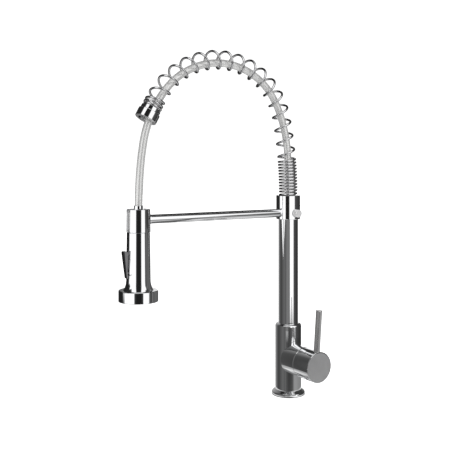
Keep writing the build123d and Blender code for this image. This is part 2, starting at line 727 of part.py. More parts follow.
# Split sleeve that the neck of the spray head docks in. The hose passes in through its slot.
with BuildPart() as docking_holder:
    with BuildSketch(head_plane):
        with BuildLine():
            Polyline(
                (0, holder_bottom), (holder_diameter / 2, holder_bottom),
                (holder_top_diameter / 2, holder_top), (0, holder_top), close=True,
            )
        make_face()
    revolve(axis=head_axis)
    with BuildSketch(Plane(origin=(0, -spout_reach, arm_height), x_dir=(1, 0, 0), z_dir=(0, 1, 0))):
        Circle(boss_diameter / 2)
    extrude(amount=holder_diameter / 2 + boss_length)
    chamfer(docking_holder.edges().filter_by(GeomType.CIRCLE).group_by(Axis.Z)[-1], holder_edge)
    with BuildSketch(across(holder_bottom, spout_reach)):
        Circle(holder_bore / 2)
    extrude(amount=holder_top - holder_bottom, mode=Mode.SUBTRACT)
    with BuildSketch(Plane(origin=(0, -spout_reach, arm_height), x_dir=(1, 0, 0), z_dir=(0, 1, 0))):
        Circle(arm_diameter / 2 + fixed_gap)
    extrude(amount=holder_diameter, mode=Mode.SUBTRACT)
    with BuildSketch(Plane(origin=(0, -spout_reach, (holder_bottom + holder_top) / 2), x_dir=(1, 0, 0),
                           z_dir=(0, -1, 0))):
        Rectangle(holder_slot, holder_top - holder_bottom + 2)
    extrude(amount=holder_diameter, mode=Mode.SUBTRACT)
docking_holder.part.label = "docking_holder"
export_step(docking_holder.part, "parts/docking_holder.step")

with BuildPart() as holder_liner:
    with BuildSketch(across(holder_bottom + liner_inset, spout_reach)):
        Circle(holder_bore / 2 - fixed_gap)
        Circle(holder_bore / 2 - liner_wall, mode=Mode.SUBTRACT)
    extrude(amount=holder_top - holder_bottom - 2 * liner_inset)
    with BuildSketch(Plane(origin=(0, -spout_reach, (holder_bottom + holder_top) / 2), x_dir=(1, 0, 0),
                           z_dir=(0, -1, 0))):
        Rectangle(holder_slot + 0.4, holder_top - holder_bottom)
    extrude(amount=holder_diameter, mode=Mode.SUBTRACT)
holder_liner.part.label = "holder_liner"
export_step(holder_liner.part, "parts/holder_liner.step")

# ================================================================== spring arch
arch_runs = [(arch_springing - spring_foot, 0.0)]
for arc_radius, arc_degrees in arch_arcs:
    arch_runs.append((arc_radius * math.radians(arc_degrees), arc_radius))
arch_runs.append((arch_end_run, 0.0))
arch_length = sum(length for length, _ in arch_runs)


def arch_point(distance):
    """Forward reach, height and lean of the spring's centre line at a distance from its foot."""
    forward, height, lean = 0.0, spring_foot, 0.0
    for length, radius in arch_runs:
        step = min(distance, length)
        if radius:
            turned = lean + step / radius
            forward += radius * (math.cos(lean) - math.cos(turned))
            height += radius * (math.sin(turned) - math.sin(lean))
            lean = turned
        else:
            forward += step * math.sin(lean)
            height += step * math.cos(lean)
        distance -= step
        if distance <= 0:
            break
    return forward, height, lean


# pitch of the open turns follows from the length that is left between the two tight ends
coil_length = arch_length - end_cap_length - end_cap_step_length - wire_diameter / 2 - fixed_gap
tight_length = (foot_turns + 0.5) * foot_pitch + (end_turns + 0.5) * end_pitch
open_pitch = (coil_length - tight_length) / (open_turns + 1)
coil_parts = (
    (foot_turns, foot_pitch, foot_pitch), (1, foot_pitch, open_pitch),
    (open_turns, open_pitch, open_pitch), (1, open_pitch, end_pitch),
    (end_turns, end_pitch, end_pitch),
)
coil_turns = sum(count for count, _, _ in coil_parts)


def climb(turns):
    """Distance along the arch that the wire has gained after a number of turns."""
    gained = 0.0
    for count, first_pitch, last_pitch in coil_parts:
        done = min(turns, count)
        gained += done * first_pitch + (last_pitch - first_pitch) * done**2 / (2 * count)
        turns -= done
    return gained


def wire_point(turns):
    """Point of the wire's centre line after a number of right-handed turns."""
    forward, height, lean = arch_point(climb(turns))
    angle = 2 * math.pi * turns
    sideways = coil_diameter / 2 * math.cos(angle)
    outwards = coil_diameter / 2 * math.sin(angle)
    return Vector(
        sideways,
        -forward + outwards * math.cos(lean),
        height + outwards * math.sin(lean),
    )


def wire_direction(turns, step=1e-4):
    """Unit tangent of the wire's centre line."""
    low, high = max(turns - step, 0), min(turns + step, coil_turns)
    return (wire_point(high) - wire_point(low)).normalized()


def biarc_joint(start, start_direction, end, end_direction):
    """Where two arcs meet that join two points tangentially, and their direction there."""
    chord = end - start
    both = start_direction + end_direction
    spread = 2 * (1 - start_direction.dot(end_direction))
    along = chord.dot(both)
    arm = (math.sqrt(along**2 + spread * chord.dot(chord)) - along) / spread
    before, after = start + start_direction * arm, end - end_direction * arm
    return (before + after) * 0.5, (after - before).normalized()


with BuildPart() as spring:
    with BuildLine() as wire_path:
        for span in range(round(coil_turns * spans_per_turn)):
            first, last = span / spans_per_turn, (span + 1) / spans_per_turn
            start, end = wire_point(first), wire_point(last)
            joint, direction = biarc_joint(start, wire_direction(first), end, wire_direction(last))
            TangentArc(start, joint, tangent=wire_direction(first))
            TangentArc(joint, end, tangent=direction)
    with BuildSketch(Plane(origin=wire_point(0), z_dir=wire_direction(0))):
        Circle(wire_diameter / 2)
    sweep()
spring.part.label = "spring"
export_step(spring.part, "parts/spring.step")

samples_per_turn = 24
wire_samples = [wire_point(i / samples_per_turn) for i in range(round(coil_turns * samples_per_turn) + 1)]
least_gap = min(
    (wire_samples[i] - wire_samples[j]).length
    for i in range(len(wire_samples))
    for j in range(i + samples_per_turn // 2, min(i + 2 * samples_per_turn, len(wire_samples)))
) - wire_diameter
print(f"spring: {coil_turns} turns, open pitch {open_pitch:.2f} mm, least gap to itself {least_gap:.2f} mm")

end_forward, end_height, end_lean = arch_point(arch_length)
end_cap_plane = Plane(
    origin=(0, -end_forward, end_height),
    x_dir=(1, 0, 0),
    z_dir=(0, math.sin(end_lean), -math.cos(end_lean)),
)

# Turned cap on the loose end of the spring; the hose runs through its bore.
with BuildPart() as spring_end_cap:
    with BuildSketch(end_cap_plane):
        Circle(end_cap_diameter / 2)
    extrude(amount=end_cap_length)
    with BuildSketch(end_cap_plane.offset(end_cap_length)):
        Circle(end_cap_step_diameter / 2)
    extrude(amount=end_cap_step_length)
    chamfer(spring_end_cap.edges().filter_by(
        lambda edge: abs(edge.length - math.pi * end_cap_diameter) < 0.01), end_cap_edge)
    with BuildSketch(end_cap_plane):
        Circle(end_cap_bore / 2)
    extrude(amount=end_cap_length + end_cap_step_length, mode=Mode.SUBTRACT)
spring_end_cap.part.label = "spring_end_cap"
export_step(spring_end_cap.part, "parts/spring_end_cap.step")

# ------------------------------------------------------------------ hose


def bend_radii(route):
    """The largest radius at each corner of a route that its two runs leave room for."""
    radii = []
    for before, corner, after in zip(route, route[1:], route[2:]):
        run_in = Vector(corner[0] - before[0], corner[1] - before[1])
        run_out = Vector(after[0] - corner[0], after[1] - corner[1])
        half_turn = math.radians(run_in.get_angle(run_out)) / 2
        radii.append(0.45 * min(run_in.length, run_out.length) / math.tan(half_turn))
    return radii


coil_hose_route = [
    (0.0, seat_top),
    *[(forward, arch_springing + rise) for forward, rise in coil_hose_points],
    (hose_joint[0], arch_springing + hose_joint[1]),
]
free_hose_route = [
    (hose_joint[0], arch_springing + hose_joint[1]),
    *[(forward, arch_springing + rise) for forward, rise in free_hose_points],
    (spout_reach - hose_end_bend[0], neck_top + hose_end_bend[1]),
    (spout_reach, neck_top + hose_end_gap),
]


def in_spout_plane(route):
    """Route points, given as forward reach and height, as points in space."""
    return [(0, -forward, height) for forward, height in route]


with BuildPart() as coil_hose:
    with BuildLine() as coil_hose_path:
        FilletPolyline(*in_spout_plane(coil_hose_route), radius=bend_radii(coil_hose_route))
    with BuildSketch(Plane(origin=coil_hose_path.line @ 0, z_dir=coil_hose_path.line % 0)):
        Circle(hose_diameter / 2)
    sweep()
coil_hose.part.label = "coil_hose"
export_step(coil_hose.part, "parts/coil_hose.step")

with BuildPart() as free_hose:
    with BuildLine() as free_hose_path:
        FilletPolyline(*in_spout_plane(free_hose_route), radius=bend_radii(free_hose_route))
    with BuildSketch(Plane(origin=free_hose_path.line @ 0, z_dir=free_hose_path.line % 0)):
        Circle(hose_diameter / 2)
    sweep()
free_hose.part.label = "free_hose"
export_step(free_hose.part, "parts/free_hose.step")

for hose_name, hose, path, route in (
    ("coil hose", coil_hose, coil_hose_path, coil_hose_route),
    ("free hose", free_hose, free_hose_path, free_hose_route),
):
    tube_volume = math.pi * hose_diameter**2 / 4 * path.wire().length
    print(f"{hose_name}: length {path.wire().length:.1f} mm, volume {hose.part.volume:.1f} of {tube_volume:.1f}")
    print(f"{hose_name}: bend radii", [round(radius) for radius in bend_radii(route)])

# ================================================================== spray head
# Neck that docks in the holder, with a plug that screws into the shell.
with BuildPart() as head_neck:
    with BuildSketch(across(head_top, spout_reach)):
        Circle(neck_diameter / 2)
    extrude(amount=neck_top - head_top)
    chamfer(head_neck.edges().group_by(Axis.Z)[-1], neck_edge)
    with BuildSketch(across(head_top - neck_plug, spout_reach)):
        Circle(neck_plug_diameter / 2)
    extrude(amount=neck_plug)
    with BuildSketch(across(head_top - neck_plug, spout_reach)):
        Circle(head_bore / 2)
    extrude(amount=neck_top - head_top + neck_plug, mode=Mode.SUBTRACT)
head_neck.part.label = "head_neck"
export_step(head_neck.part, "parts/head_neck.step")

with BuildPart() as hose_crimp:
    with BuildSketch(across(neck_top, spout_reach)):
        Circle(hose_diameter / 2 + crimp_wall + 0.2)
        Circle(hose_diameter / 2 + 0.2, mode=Mode.SUBTRACT)
    extrude(amount=crimp_length)
hose_crimp.part.label = "hose_crimp"
export_step(hose_crimp.part, "parts/hose_crimp.step")

# Shell: a slightly tapered barrel that flares out onto the skirt, with the trigger's recess.
with BuildPart() as head_shell:
    with BuildSketch(head_plane):
        with BuildLine():
            waist = (head_waist_diameter / 2, head_waist)
            foot = (head_foot_diameter / 2, skirt_top)
            side_top = (head_top_diameter / 2, head_top - head_edge)
            Polyline(
                (spigot_of_head_diameter / 2, skirt_top), (spigot_of_head_diameter / 2, chamber_top),
                (0, chamber_top), (0, head_top), (head_top_diameter / 2 - head_edge, head_top),
                side_top, waist,
            )
            # the flare runs on from the side without a crease
            TangentArc(waist, foot, tangent=(waist[0] - side_top[0], waist[1] - side_top[1]))
            Line(foot, (spigot_of_head_diameter / 2, skirt_top))
        make_face()
    revolve(axis=head_axis)
    with BuildSketch(across(head_top, spout_reach)):
        Circle(neck_plug_diameter / 2 + fixed_gap)
    extrude(amount=-neck_plug, mode=Mode.SUBTRACT)
    with BuildSketch(across(chamber_top, spout_reach)):
        Circle(head_bore / 2)
    extrude(amount=head_top - chamber_top, mode=Mode.SUBTRACT)
    with BuildSketch(head_side_plane):
        with BuildLine():
            Polyline(
                (trigger_slot_depth, trigger_top + 1.2), (trigger_slot_depth, trigger_foot - 0.8),
                (head_waist_diameter, trigger_foot - 0.8), (head_waist_diameter, trigger_top + 1.2),
                close=True,
            )
        make_face()
    extrude(amount=trigger_width / 2 + free_gap, both=True, mode=Mode.SUBTRACT)
    with BuildSketch(trigger_pivot_plane):
        Circle(trigger_pin_diameter / 2 + fixed_gap)
    extrude(amount=trigger_pin_length / 2 + 0.1, both=True, mode=Mode.SUBTRACT)
    with BuildSketch(Plane(origin=(0, -spout_reach, plunger_height), x_dir=(1, 0, 0), z_dir=(0, -1, 0))):
        Circle(plunger_diameter / 2 + running_gap)
    extrude(amount=trigger_slot_depth + 1, mode=Mode.SUBTRACT)
head_shell.part.label = "head_shell"
export_step(head_shell.part, "parts/head_shell.step")

# Skirt: the wide drum round the spray face.
with BuildPart() as head_skirt:
    with BuildSketch(across(skirt_bottom, spout_reach)):
        Circle(skirt_diameter / 2)
    extrude(amount=skirt_top - skirt_bottom)
    fillet(head_skirt.edges().group_by(Axis.Z)[-1], skirt_edge)
    chamfer(head_skirt.edges().group_by(Axis.Z)[0], skirt_edge / 2)
    with BuildSketch(across(skirt_bottom, spout_reach)):
        Circle(skirt_diameter / 2 - skirt_wall)
    extrude(amount=chamber_top - skirt_bottom, mode=Mode.SUBTRACT)
    with BuildSketch(across(chamber_top, spout_reach)):
        Circle(spigot_of_head_diameter / 2 + fixed_gap)
    extrude(amount=skirt_wall, mode=Mode.SUBTRACT)
head_skirt.part.label = "head_skirt"
export_step(head_skirt.part, "parts/head_skirt.step")

# Insert that leads the water to the aerator or to the ring of nozzles.
with BuildPart() as flow_divider:
    with BuildSketch(across(chamber_bottom, spout_reach)):
        Circle(skirt_diameter / 2 - skirt_wall - fixed_gap)
        Circle(aerator_diameter / 2 + fixed_gap, mode=Mode.SUBTRACT)
    extrude(amount=chamber_top - chamber_bottom)
    with BuildSketch(across(chamber_bottom, spout_reach)):
        Circle(nozzle_rings[-1][1] + nozzle_diameter)
        Circle(nozzle_rings[0][1] - nozzle_diameter, mode=Mode.SUBTRACT)
    extrude(amount=(chamber_top - chamber_bottom) / 2, mode=Mode.SUBTRACT)
flow_divider.part.label = "flow_divider"
export_step(flow_divider.part, "parts/flow_divider.step")

with BuildPart() as spray_plate:
    with BuildSketch(across(plate_bottom, spout_reach)):
        Circle(skirt_diameter / 2 - skirt_wall - fixed_gap)
        Circle(aerator_diameter / 2 + fixed_gap, mode=Mode.SUBTRACT)
    extrude(amount=plate_thickness)
spray_plate.part.label = "spray_plate"
export_step(spray_plate.part, "parts/spray_plate.step")

# Rubber nozzles, in three rings on the plate's underside.
with BuildPart() as spray_nozzles:
    for nozzle_count, ring_radius in nozzle_rings:
        with BuildSketch(across(plate_bottom, spout_reach)):
            with PolarLocations(ring_radius, nozzle_count):
                RegularPolygon(nozzle_diameter / 2, 6)
        extrude(amount=-nozzle_length, taper=14)
spray_nozzles.part.label = "spray_nozzles"
export_step(spray_nozzles.part, "parts/spray_nozzles.step")

with BuildPart() as aerator:
    with BuildSketch(across(plate_bottom - 0.4, spout_reach)):
        Circle(aerator_diameter / 2)
        Circle(aerator_diameter / 2 - aerator_wall, mode=Mode.SUBTRACT)
    extrude(amount=aerator_height)
    with BuildSketch(across(plate_bottom + 0.4, spout_reach)):
        with PolarLocations(0, aerator_bars, 0, 180):
            Rectangle(aerator_diameter - aerator_wall, aerator_bar_width)
    extrude(amount=aerator_wall)
aerator.part.label = "aerator"
export_step(aerator.part, "parts/aerator.step")

# ------------------------------------------------------------------ trigger and its valve
with BuildPart() as spray_trigger:
    knuckle = trigger_pivot_depth - trigger_knuckle
    with BuildSketch(head_side_plane):
        with BuildLine():
            Polyline(
                (knuckle, trigger_pivot_height - 2.2), (knuckle + 2.6, trigger_foot),
                (trigger_foot_radius, trigger_foot), (trigger_top_radius, trigger_top - 1.6),
                (trigger_top_radius - 1.2, trigger_top), (trigger_inner_radius + 1.6, trigger_top),
                (trigger_inner_radius, trigger_top - 1.6),
                (trigger_inner_radius, trigger_pivot_height + 4.4),
                (knuckle, trigger_pivot_height + 2.0), close=True,
            )
        make_face()
    extrude(amount=trigger_width / 2, both=True)
    outer_face = spray_trigger.faces().filter_by(
        lambda face: abs(face.normal_at().X) < 0.01 and face.normal_at().Y < -0.9
        and face.area > trigger_width * trigger_length / 2).sort_by(Axis.Y)[0]
    chamfer(outer_face.edges().filter_by(lambda edge: edge.length > trigger_length / 2), trigger_facet)
    # the trigger narrows towards its pivot
    with BuildSketch(Plane(origin=(0, -spout_reach, 0), x_dir=(1, 0, 0), z_dir=(0, -1, 0))):
        with BuildLine():
            Polyline(
                (-trigger_foot_width / 2, trigger_foot), (trigger_foot_width / 2, trigger_foot),
                (trigger_foot_width / 2, trigger_foot + trigger_taper), (trigger_width / 2, trigger_top),
                (-trigger_width / 2, trigger_top), (-trigger_foot_width / 2, trigger_foot + trigger_taper),
                close=True,
            )
        make_face()
    extrude(amount=2 * trigger_top_radius, mode=Mode.INTERSECT)
    with BuildSketch(trigger_pivot_plane):
        Circle(trigger_pin_diameter / 2 + running_gap)
    extrude(amount=trigger_width, both=True, mode=Mode.SUBTRACT)
spray_trigger.part.label = "spray_trigger"
export_step(spray_trigger.part, "parts/spray_trigger.step")

with BuildPart() as trigger_pin:
    with BuildSketch(trigger_pivot_plane):
        Circle(trigger_pin_diameter / 2)
    extrude(amount=trigger_pin_length / 2, both=True)
trigger_pin.part.label = "trigger_pin"
export_step(trigger_pin.part, "parts/trigger_pin.step")

# Plunger that the trigger pushes in, to switch from stream to spray.
with BuildPart() as valve_plunger:
    plunger_end = -spout_reach - trigger_inner_radius + free_gap
    with BuildSketch(Plane(origin=(0, plunger_end, plunger_height), x_dir=(1, 0, 0), z_dir=(0, 1, 0))):
        Circle(plunger_diameter / 2)
    extrude(amount=plunger_length)
    chamfer(valve_plunger.edges().group_by(Axis.Y)[0], 0.6)
valve_plunger.part.label = "valve_plunger"
export_step(valve_plunger.part, "parts/valve_plunger.step")
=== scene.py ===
import math

import bmesh
import bpy
from mathutils import Matrix, Vector


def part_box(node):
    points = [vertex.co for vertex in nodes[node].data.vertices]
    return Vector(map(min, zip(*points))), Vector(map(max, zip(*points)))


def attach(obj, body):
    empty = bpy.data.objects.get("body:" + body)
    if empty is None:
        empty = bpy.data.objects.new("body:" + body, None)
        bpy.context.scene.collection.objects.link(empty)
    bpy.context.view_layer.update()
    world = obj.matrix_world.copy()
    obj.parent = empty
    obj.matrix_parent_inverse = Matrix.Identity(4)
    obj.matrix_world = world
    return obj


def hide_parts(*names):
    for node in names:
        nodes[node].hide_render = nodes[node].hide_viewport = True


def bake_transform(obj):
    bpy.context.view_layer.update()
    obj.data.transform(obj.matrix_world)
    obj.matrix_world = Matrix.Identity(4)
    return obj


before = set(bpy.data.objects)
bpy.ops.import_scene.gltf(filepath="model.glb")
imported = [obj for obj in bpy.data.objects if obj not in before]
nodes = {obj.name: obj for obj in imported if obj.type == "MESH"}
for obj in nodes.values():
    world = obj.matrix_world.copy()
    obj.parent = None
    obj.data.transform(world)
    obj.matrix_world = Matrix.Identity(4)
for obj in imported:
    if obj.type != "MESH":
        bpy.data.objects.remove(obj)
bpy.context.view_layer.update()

# ------------------------------------------------------------------ camera
# The photograph was taken level, from in front of the handle's side, a little over a metre away.
# The picture is the lower part of what the level camera sees, so the lens is shifted down.
toward_camera = (0.8423, -0.5391)
camera_data = bpy.data.cameras.new("Camera")
camera_data.lens = 60.8
camera_data.sensor_width = 36
camera_data.shift_y = -0.1459
camera = bpy.data.objects.new("Camera", camera_data)
camera.location = (0.9106, -0.6956, 0.35134)
camera.rotation_euler = (math.radians(90), 0, math.atan2(toward_camera[0], -toward_camera[1]))
bpy.context.scene.collection.objects.link(camera)
bpy.context.scene.camera = camera

# ------------------------------------------------------------------ hose
# The water hose has a smooth pearl-grey sheath over its braid. It stands on the plug in the riser's
# top, runs inside the spring and its end cap, and hangs from there into the spray head.
spout_mm = 249
spout_reach = spout_mm / 1000
springing = 0.300
hose_radius = 0.0052
seat_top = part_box("spring_seat")[1].z
neck_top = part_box("head_neck")[1].z
hose_joint = (0.2304, springing + 0.1105)
coil_hose_route = [
    (0.0, seat_top), (0.0, springing + 0.028), (0.0006, springing + 0.057), (0.004, springing + 0.084),
    (0.0125, springing + 0.1135), (0.0265, springing + 0.1415), (0.046, springing + 0.1635),
    (0.0735, springing + 0.180), (0.106, springing + 0.1882), (0.140, springing + 0.187),
    (0.173, springing + 0.1756), (0.1995, springing + 0.1572), (0.222, springing + 0.1285), hose_joint,
]
free_hose_route = [
    hose_joint, (0.2388, springing + 0.0925), (0.2455, springing + 0.052),
    (spout_reach - 0.0005, neck_top + 0.032), (spout_reach, neck_top + 0.0001),
]


def hose_line(name, route):
    """The smooth line that a hose follows, read from a spline with the route's points."""
    curve = bpy.data.curves.new(name, "CURVE")
    curve.dimensions = "3D"
    curve.resolution_u = 16
    spline = curve.splines.new("NURBS")
    spline.points.add(len(route) - 1)
    for point, (forward, height) in zip(spline.points, route):
        point.co = (0, -forward, height, 1)
    spline.use_endpoint_u = True
    spline.order_u = 3
    guide = bpy.data.objects.new(name, curve)
    bpy.context.scene.collection.objects.link(guide)
    bpy.context.view_layer.update()
    sampled = bpy.data.meshes.new_from_object(guide.evaluated_get(bpy.context.evaluated_depsgraph_get()))
    line = [vertex.co.copy() for vertex in sampled.vertices]
    bpy.data.objects.remove(guide)
    bpy.data.meshes.remove(sampled)
    return line


def add_piece(name, mesh, *materials):
    """A new piece of the object with this mesh."""
    for material in materials:
        mesh.materials.append(material)
    piece = bpy.data.objects.new(name, mesh)
    bpy.context.scene.collection.objects.link(piece)
    return piece


def hose_mesh(name, line):
    """The hose with closed ends along a line in the spout's plane, unwrapped round and along it."""
    radius, sides = hose_radius, 48
    mesh = bpy.data.meshes.new(name)
    bm = bmesh.new()
    wrap = bm.loops.layers.uv.new("Sheath")
    side = Vector((1, 0, 0))
    rings = []
    for i, point in enumerate(line):
        ahead = (line[min(i + 1, len(line) - 1)] - line[max(i - 1, 0)]).normalized()
        across = ahead.cross(side)
        rings.append([
            bm.verts.new(point + side * (radius * math.cos(angle)) + across * (radius * math.sin(angle)))
            for angle in (2 * math.pi * k / sides for k in range(sides))
        ])
    gone = 0.0
    for i, (low, high) in enumerate(zip(rings, rings[1:])):
        step = (line[i + 1] - line[i]).length
        for k in range(sides):
            n = (k + 1) % sides
            face = bm.faces.new((low[k], low[n], high[n], high[k]))
            for loop, (u, v) in zip(face.loops, ((k, 0), (k + 1, 0), (k + 1, 1), (k, 1))):
                loop[wrap].uv = (u / sides, gone + v * step)
        gone += step
    bm.faces.new(rings[0])
    bm.faces.new(rings[-1])
    bmesh.ops.recalc_face_normals(bm, faces=bm.faces)
    for face in bm.faces:
        face.smooth = len(face.verts) == 4
    bm.to_mesh(mesh)
    bm.free()
    return mesh


def set_values(node, values):
    """Set the values of a node's own sockets, by name or number."""
    for socket, value in values.items():
        node.inputs[socket].default_value = value


def new_material(name, colour, roughness, metallic=0.0):
    """A material with its plain values on the shader, and the nodes that a finish is wired into."""
    material = bpy.data.materials.new(name)
    material.use_nodes = True
    tree = material.node_tree
    shader = tree.nodes["Principled BSDF"]
    set_values(shader, {"Base Color": (*colour, 1), "Roughness": roughness, "Metallic": metallic})
    return material, tree, shader


def add_node(tree, kind, values=None, **settings):
    """A node of a tree with these settings and socket values."""
    node = tree.nodes.new(kind)
    for setting, value in settings.items():
        setattr(node, setting, value)
    set_values(node, values or {})
    return node


def join(tree, *pairs):
    """Link sockets of a tree, each pair a source and a target."""
    for source, target in pairs:
        tree.links.new(source, target)


def colour_ramp(tree, factor, stops):
    """Colours along a factor, given as stops of position and colour or grey."""
    ramp = add_node(tree, "ShaderNodeValToRGB")
    elements = ramp.color_ramp.elements
    while len(elements) < len(stops):
        elements.new(0.5)
    for element, (position, colour) in zip(elements, stops):
        element.position = position
        element.color = (*colour, 1) if isinstance(colour, tuple) else (colour, colour, colour, 1)
    tree.links.new(factor, ramp.inputs["Fac"])
    return ramp.outputs["Color"]


sheath, tree, shader = new_material("hose_sheath", (0.88, 0.88, 0.87), 0.28, 0.35)
set_values(shader, {"Coat Weight": 0.12, "Coat Roughness": 0.12})
unwrap = add_node(tree, "ShaderNodeUVMap", uv_map="Sheath")
stretch = add_node(tree, "ShaderNodeMapping", {"Scale": (40, 1.5, 1)})
threads = add_node(tree, "ShaderNodeTexNoise", {"Scale": 1.0, "Detail": 3})
shades = colour_ramp(tree, threads.outputs["Fac"], ((0.3, (0.84, 0.84, 0.83)), (0.62, (0.96, 0.96, 0.95))))
relief = add_node(tree, "ShaderNodeBump", {"Strength": 0.05, "Distance": 0.0002})
join(
    tree,
    (unwrap.outputs["UV"], stretch.inputs["Vector"]),
    (stretch.outputs["Vector"], threads.inputs["Vector"]),
    (shades, shader.inputs["Base Color"]),
    (threads.outputs["Fac"], relief.inputs["Height"]),
    (relief.outputs["Normal"], shader.inputs["Normal"]),
)

coil_line = hose_line("coil_hose_line", coil_hose_route)
coil_hose = add_piece("hose_in_spring", hose_mesh("hose_in_spring", coil_line), sheath)
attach(coil_hose, "spout")
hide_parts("coil_hose")

free_line = hose_line("free_hose_line", free_hose_route)
free_hose = add_piece("hose_to_head", hose_mesh("hose_to_head", free_line), sheath)
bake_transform(free_hose)
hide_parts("free_hose")

# ------------------------------------------------------------------ spring
# One steel wire, wound right-handed round the hose and plated with chrome. Its close turns stand in
# the collar, its open turns make the arch, and its last close turns are held in the end cap.
wire_radius = 0.0016
coil_radius = 0.0124
coil_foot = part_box("spring")[0].z + wire_radius
arch_arcs = ((0.5049, 12.8), (0.1011, 53.6), (0.1212, 63.9), (0.1127, 20.5))
# the centre line from the foot: length and radius of each run, and a radius of 0 for the two straights
arch_runs = [
    (springing - coil_foot, 0.0),
    *((radius * math.radians(degrees), radius) for radius, degrees in arch_arcs),
    (0.0322, 0.0),
]
arch_length = sum(length for length, _ in arch_runs)
foot_turns, open_turns, end_turns = 13, 15.25, 2
foot_pitch, end_pitch = 0.00455, 0.0044
end_cap_length, cap_play = 0.0175, 0.00002
coil_length = arch_length - end_cap_length - wire_radius - cap_play
open_length = coil_length - (foot_turns + 0.5) * foot_pitch - (end_turns + 0.5) * end_pitch
open_pitch = open_length / (open_turns + 1)
# the coil from its foot: turns, and the pitch that they start and end with
coil_parts = (
    (foot_turns, foot_pitch, foot_pitch), (1, foot_pitch, open_pitch), (open_turns, open_pitch, open_pitch),
    (1, open_pitch, end_pitch), (end_turns, end_pitch, end_pitch),
)
coil_turns = sum(count for count, _, _ in coil_parts)


def arch_point(distance):
    """Point of the spring's centre line at a distance from its foot, and its lean there."""
    forward, height, lean = 0.0, coil_foot, 0.0
    for length, radius in arch_runs:
        step = min(distance, length)
        if radius:
            turned = lean + step / radius
            forward += radius * (math.cos(lean) - math.cos(turned))
            height += radius * (math.sin(turned) - math.sin(lean))
            lean = turned
        else:
            forward += step * math.sin(lean)
            height += step * math.cos(lean)
        distance -= step
        if distance <= 0:
            break
    return Vector((0, -forward, height)), lean


def climb(turns):
    """Distance along the arch that the wire has gained after a number of turns."""
    gained = 0.0
    for count, first_pitch, last_pitch in coil_parts:
        done = min(turns, count)
        gained += done * first_pitch + (last_pitch - first_pitch) * done**2 / (2 * count)
        turns -= done
    return gained


steps_per_turn = 40
axis_mesh = bpy.data.meshes.new("spring_wire")
turns_at = [i / steps_per_turn for i in range(round(coil_turns * steps_per_turn) + 1)]
axis_points = [arch_point(climb(turns))[0] for turns in turns_at]
axis_mesh.from_pydata(axis_points, [(i, i + 1) for i in range(len(axis_points) - 1)], [])
axis_mesh.attributes.new("turns", "FLOAT", "POINT").data.foreach_set("value", turns_at)


def new_group(name, kind, inputs, outputs):
    """A node group with named inputs and outputs, each given as name and kind of socket."""
    group = bpy.data.node_groups.new(name, kind + "NodeTree")
    for side, sockets in (("INPUT", inputs), ("OUTPUT", outputs)):
        for label, socket in sockets.items():
            group.interface.new_socket(label, in_out=side, socket_type="NodeSocket" + socket)
    return group, add_node(group, "NodeGroupInput").outputs, add_node(group, "NodeGroupOutput").inputs


winding, given, result = new_group("Wound wire", "Geometry", {
    "Line": "Geometry", "Coil radius": "Float", "Wire radius": "Float", "Sides": "Int",
    "Finish": "Material",
}, {"Wire": "Geometry"})
to_curve = add_node(winding, "GeometryNodeMeshToCurve")
turns_so_far = add_node(winding, "GeometryNodeInputNamedAttribute", {"Name": "turns"}, data_type="FLOAT")
whole_turn = add_node(winding, "ShaderNodeMath", {1: 2 * math.pi}, operation="MULTIPLY")
cosine = add_node(winding, "ShaderNodeMath", operation="COSINE")
sine = add_node(winding, "ShaderNodeMath", operation="SINE")
tangent = add_node(winding, "GeometryNodeInputTangent")
outwards = add_node(winding, "ShaderNodeVectorMath", {1: (1, 0, 0)}, operation="CROSS_PRODUCT")
along_out = add_node(winding, "ShaderNodeVectorMath", operation="SCALE")
along_side = add_node(winding, "ShaderNodeVectorMath", {0: (1, 0, 0)}, operation="SCALE")
spoke = add_node(winding, "ShaderNodeVectorMath", operation="ADD")
offset = add_node(winding, "ShaderNodeVectorMath", operation="SCALE")
wind = add_node(winding, "GeometryNodeSetPosition")
section = add_node(winding, "GeometryNodeCurvePrimitiveCircle")
sweep = add_node(winding, "GeometryNodeCurveToMesh", {"Fill Caps": True})
real = add_node(winding, "GeometryNodeRealizeInstances")
paint = add_node(winding, "GeometryNodeSetMaterial")
join(
    winding,
    (given["Line"], to_curve.inputs["Mesh"]),
    (turns_so_far.outputs["Attribute"], whole_turn.inputs[0]),
    (whole_turn.outputs[0], cosine.inputs[0]),
    (whole_turn.outputs[0], sine.inputs[0]),
    (tangent.outputs[0], outwards.inputs[0]),
    (outwards.outputs[0], along_out.inputs[0]),
    (sine.outputs[0], along_out.inputs["Scale"]),
    (cosine.outputs[0], along_side.inputs["Scale"]),
    (along_out.outputs[0], spoke.inputs[0]),
    (along_side.outputs[0], spoke.inputs[1]),
    (spoke.outputs[0], offset.inputs[0]),
    (given["Coil radius"], offset.inputs["Scale"]),
    (to_curve.outputs["Curve"], wind.inputs["Geometry"]),
    (offset.outputs[0], wind.inputs["Offset"]),
    (wind.outputs["Geometry"], sweep.inputs["Curve"]),
    (given["Sides"], section.inputs["Resolution"]),
    (given["Wire radius"], section.inputs["Radius"]),
    (section.outputs["Curve"], sweep.inputs["Profile Curve"]),
    (sweep.outputs["Mesh"], real.inputs["Geometry"]),
    (real.outputs["Geometry"], paint.inputs["Geometry"]),
    (given["Finish"], paint.inputs["Material"]),
    (paint.outputs["Geometry"], result["Wire"]),
)


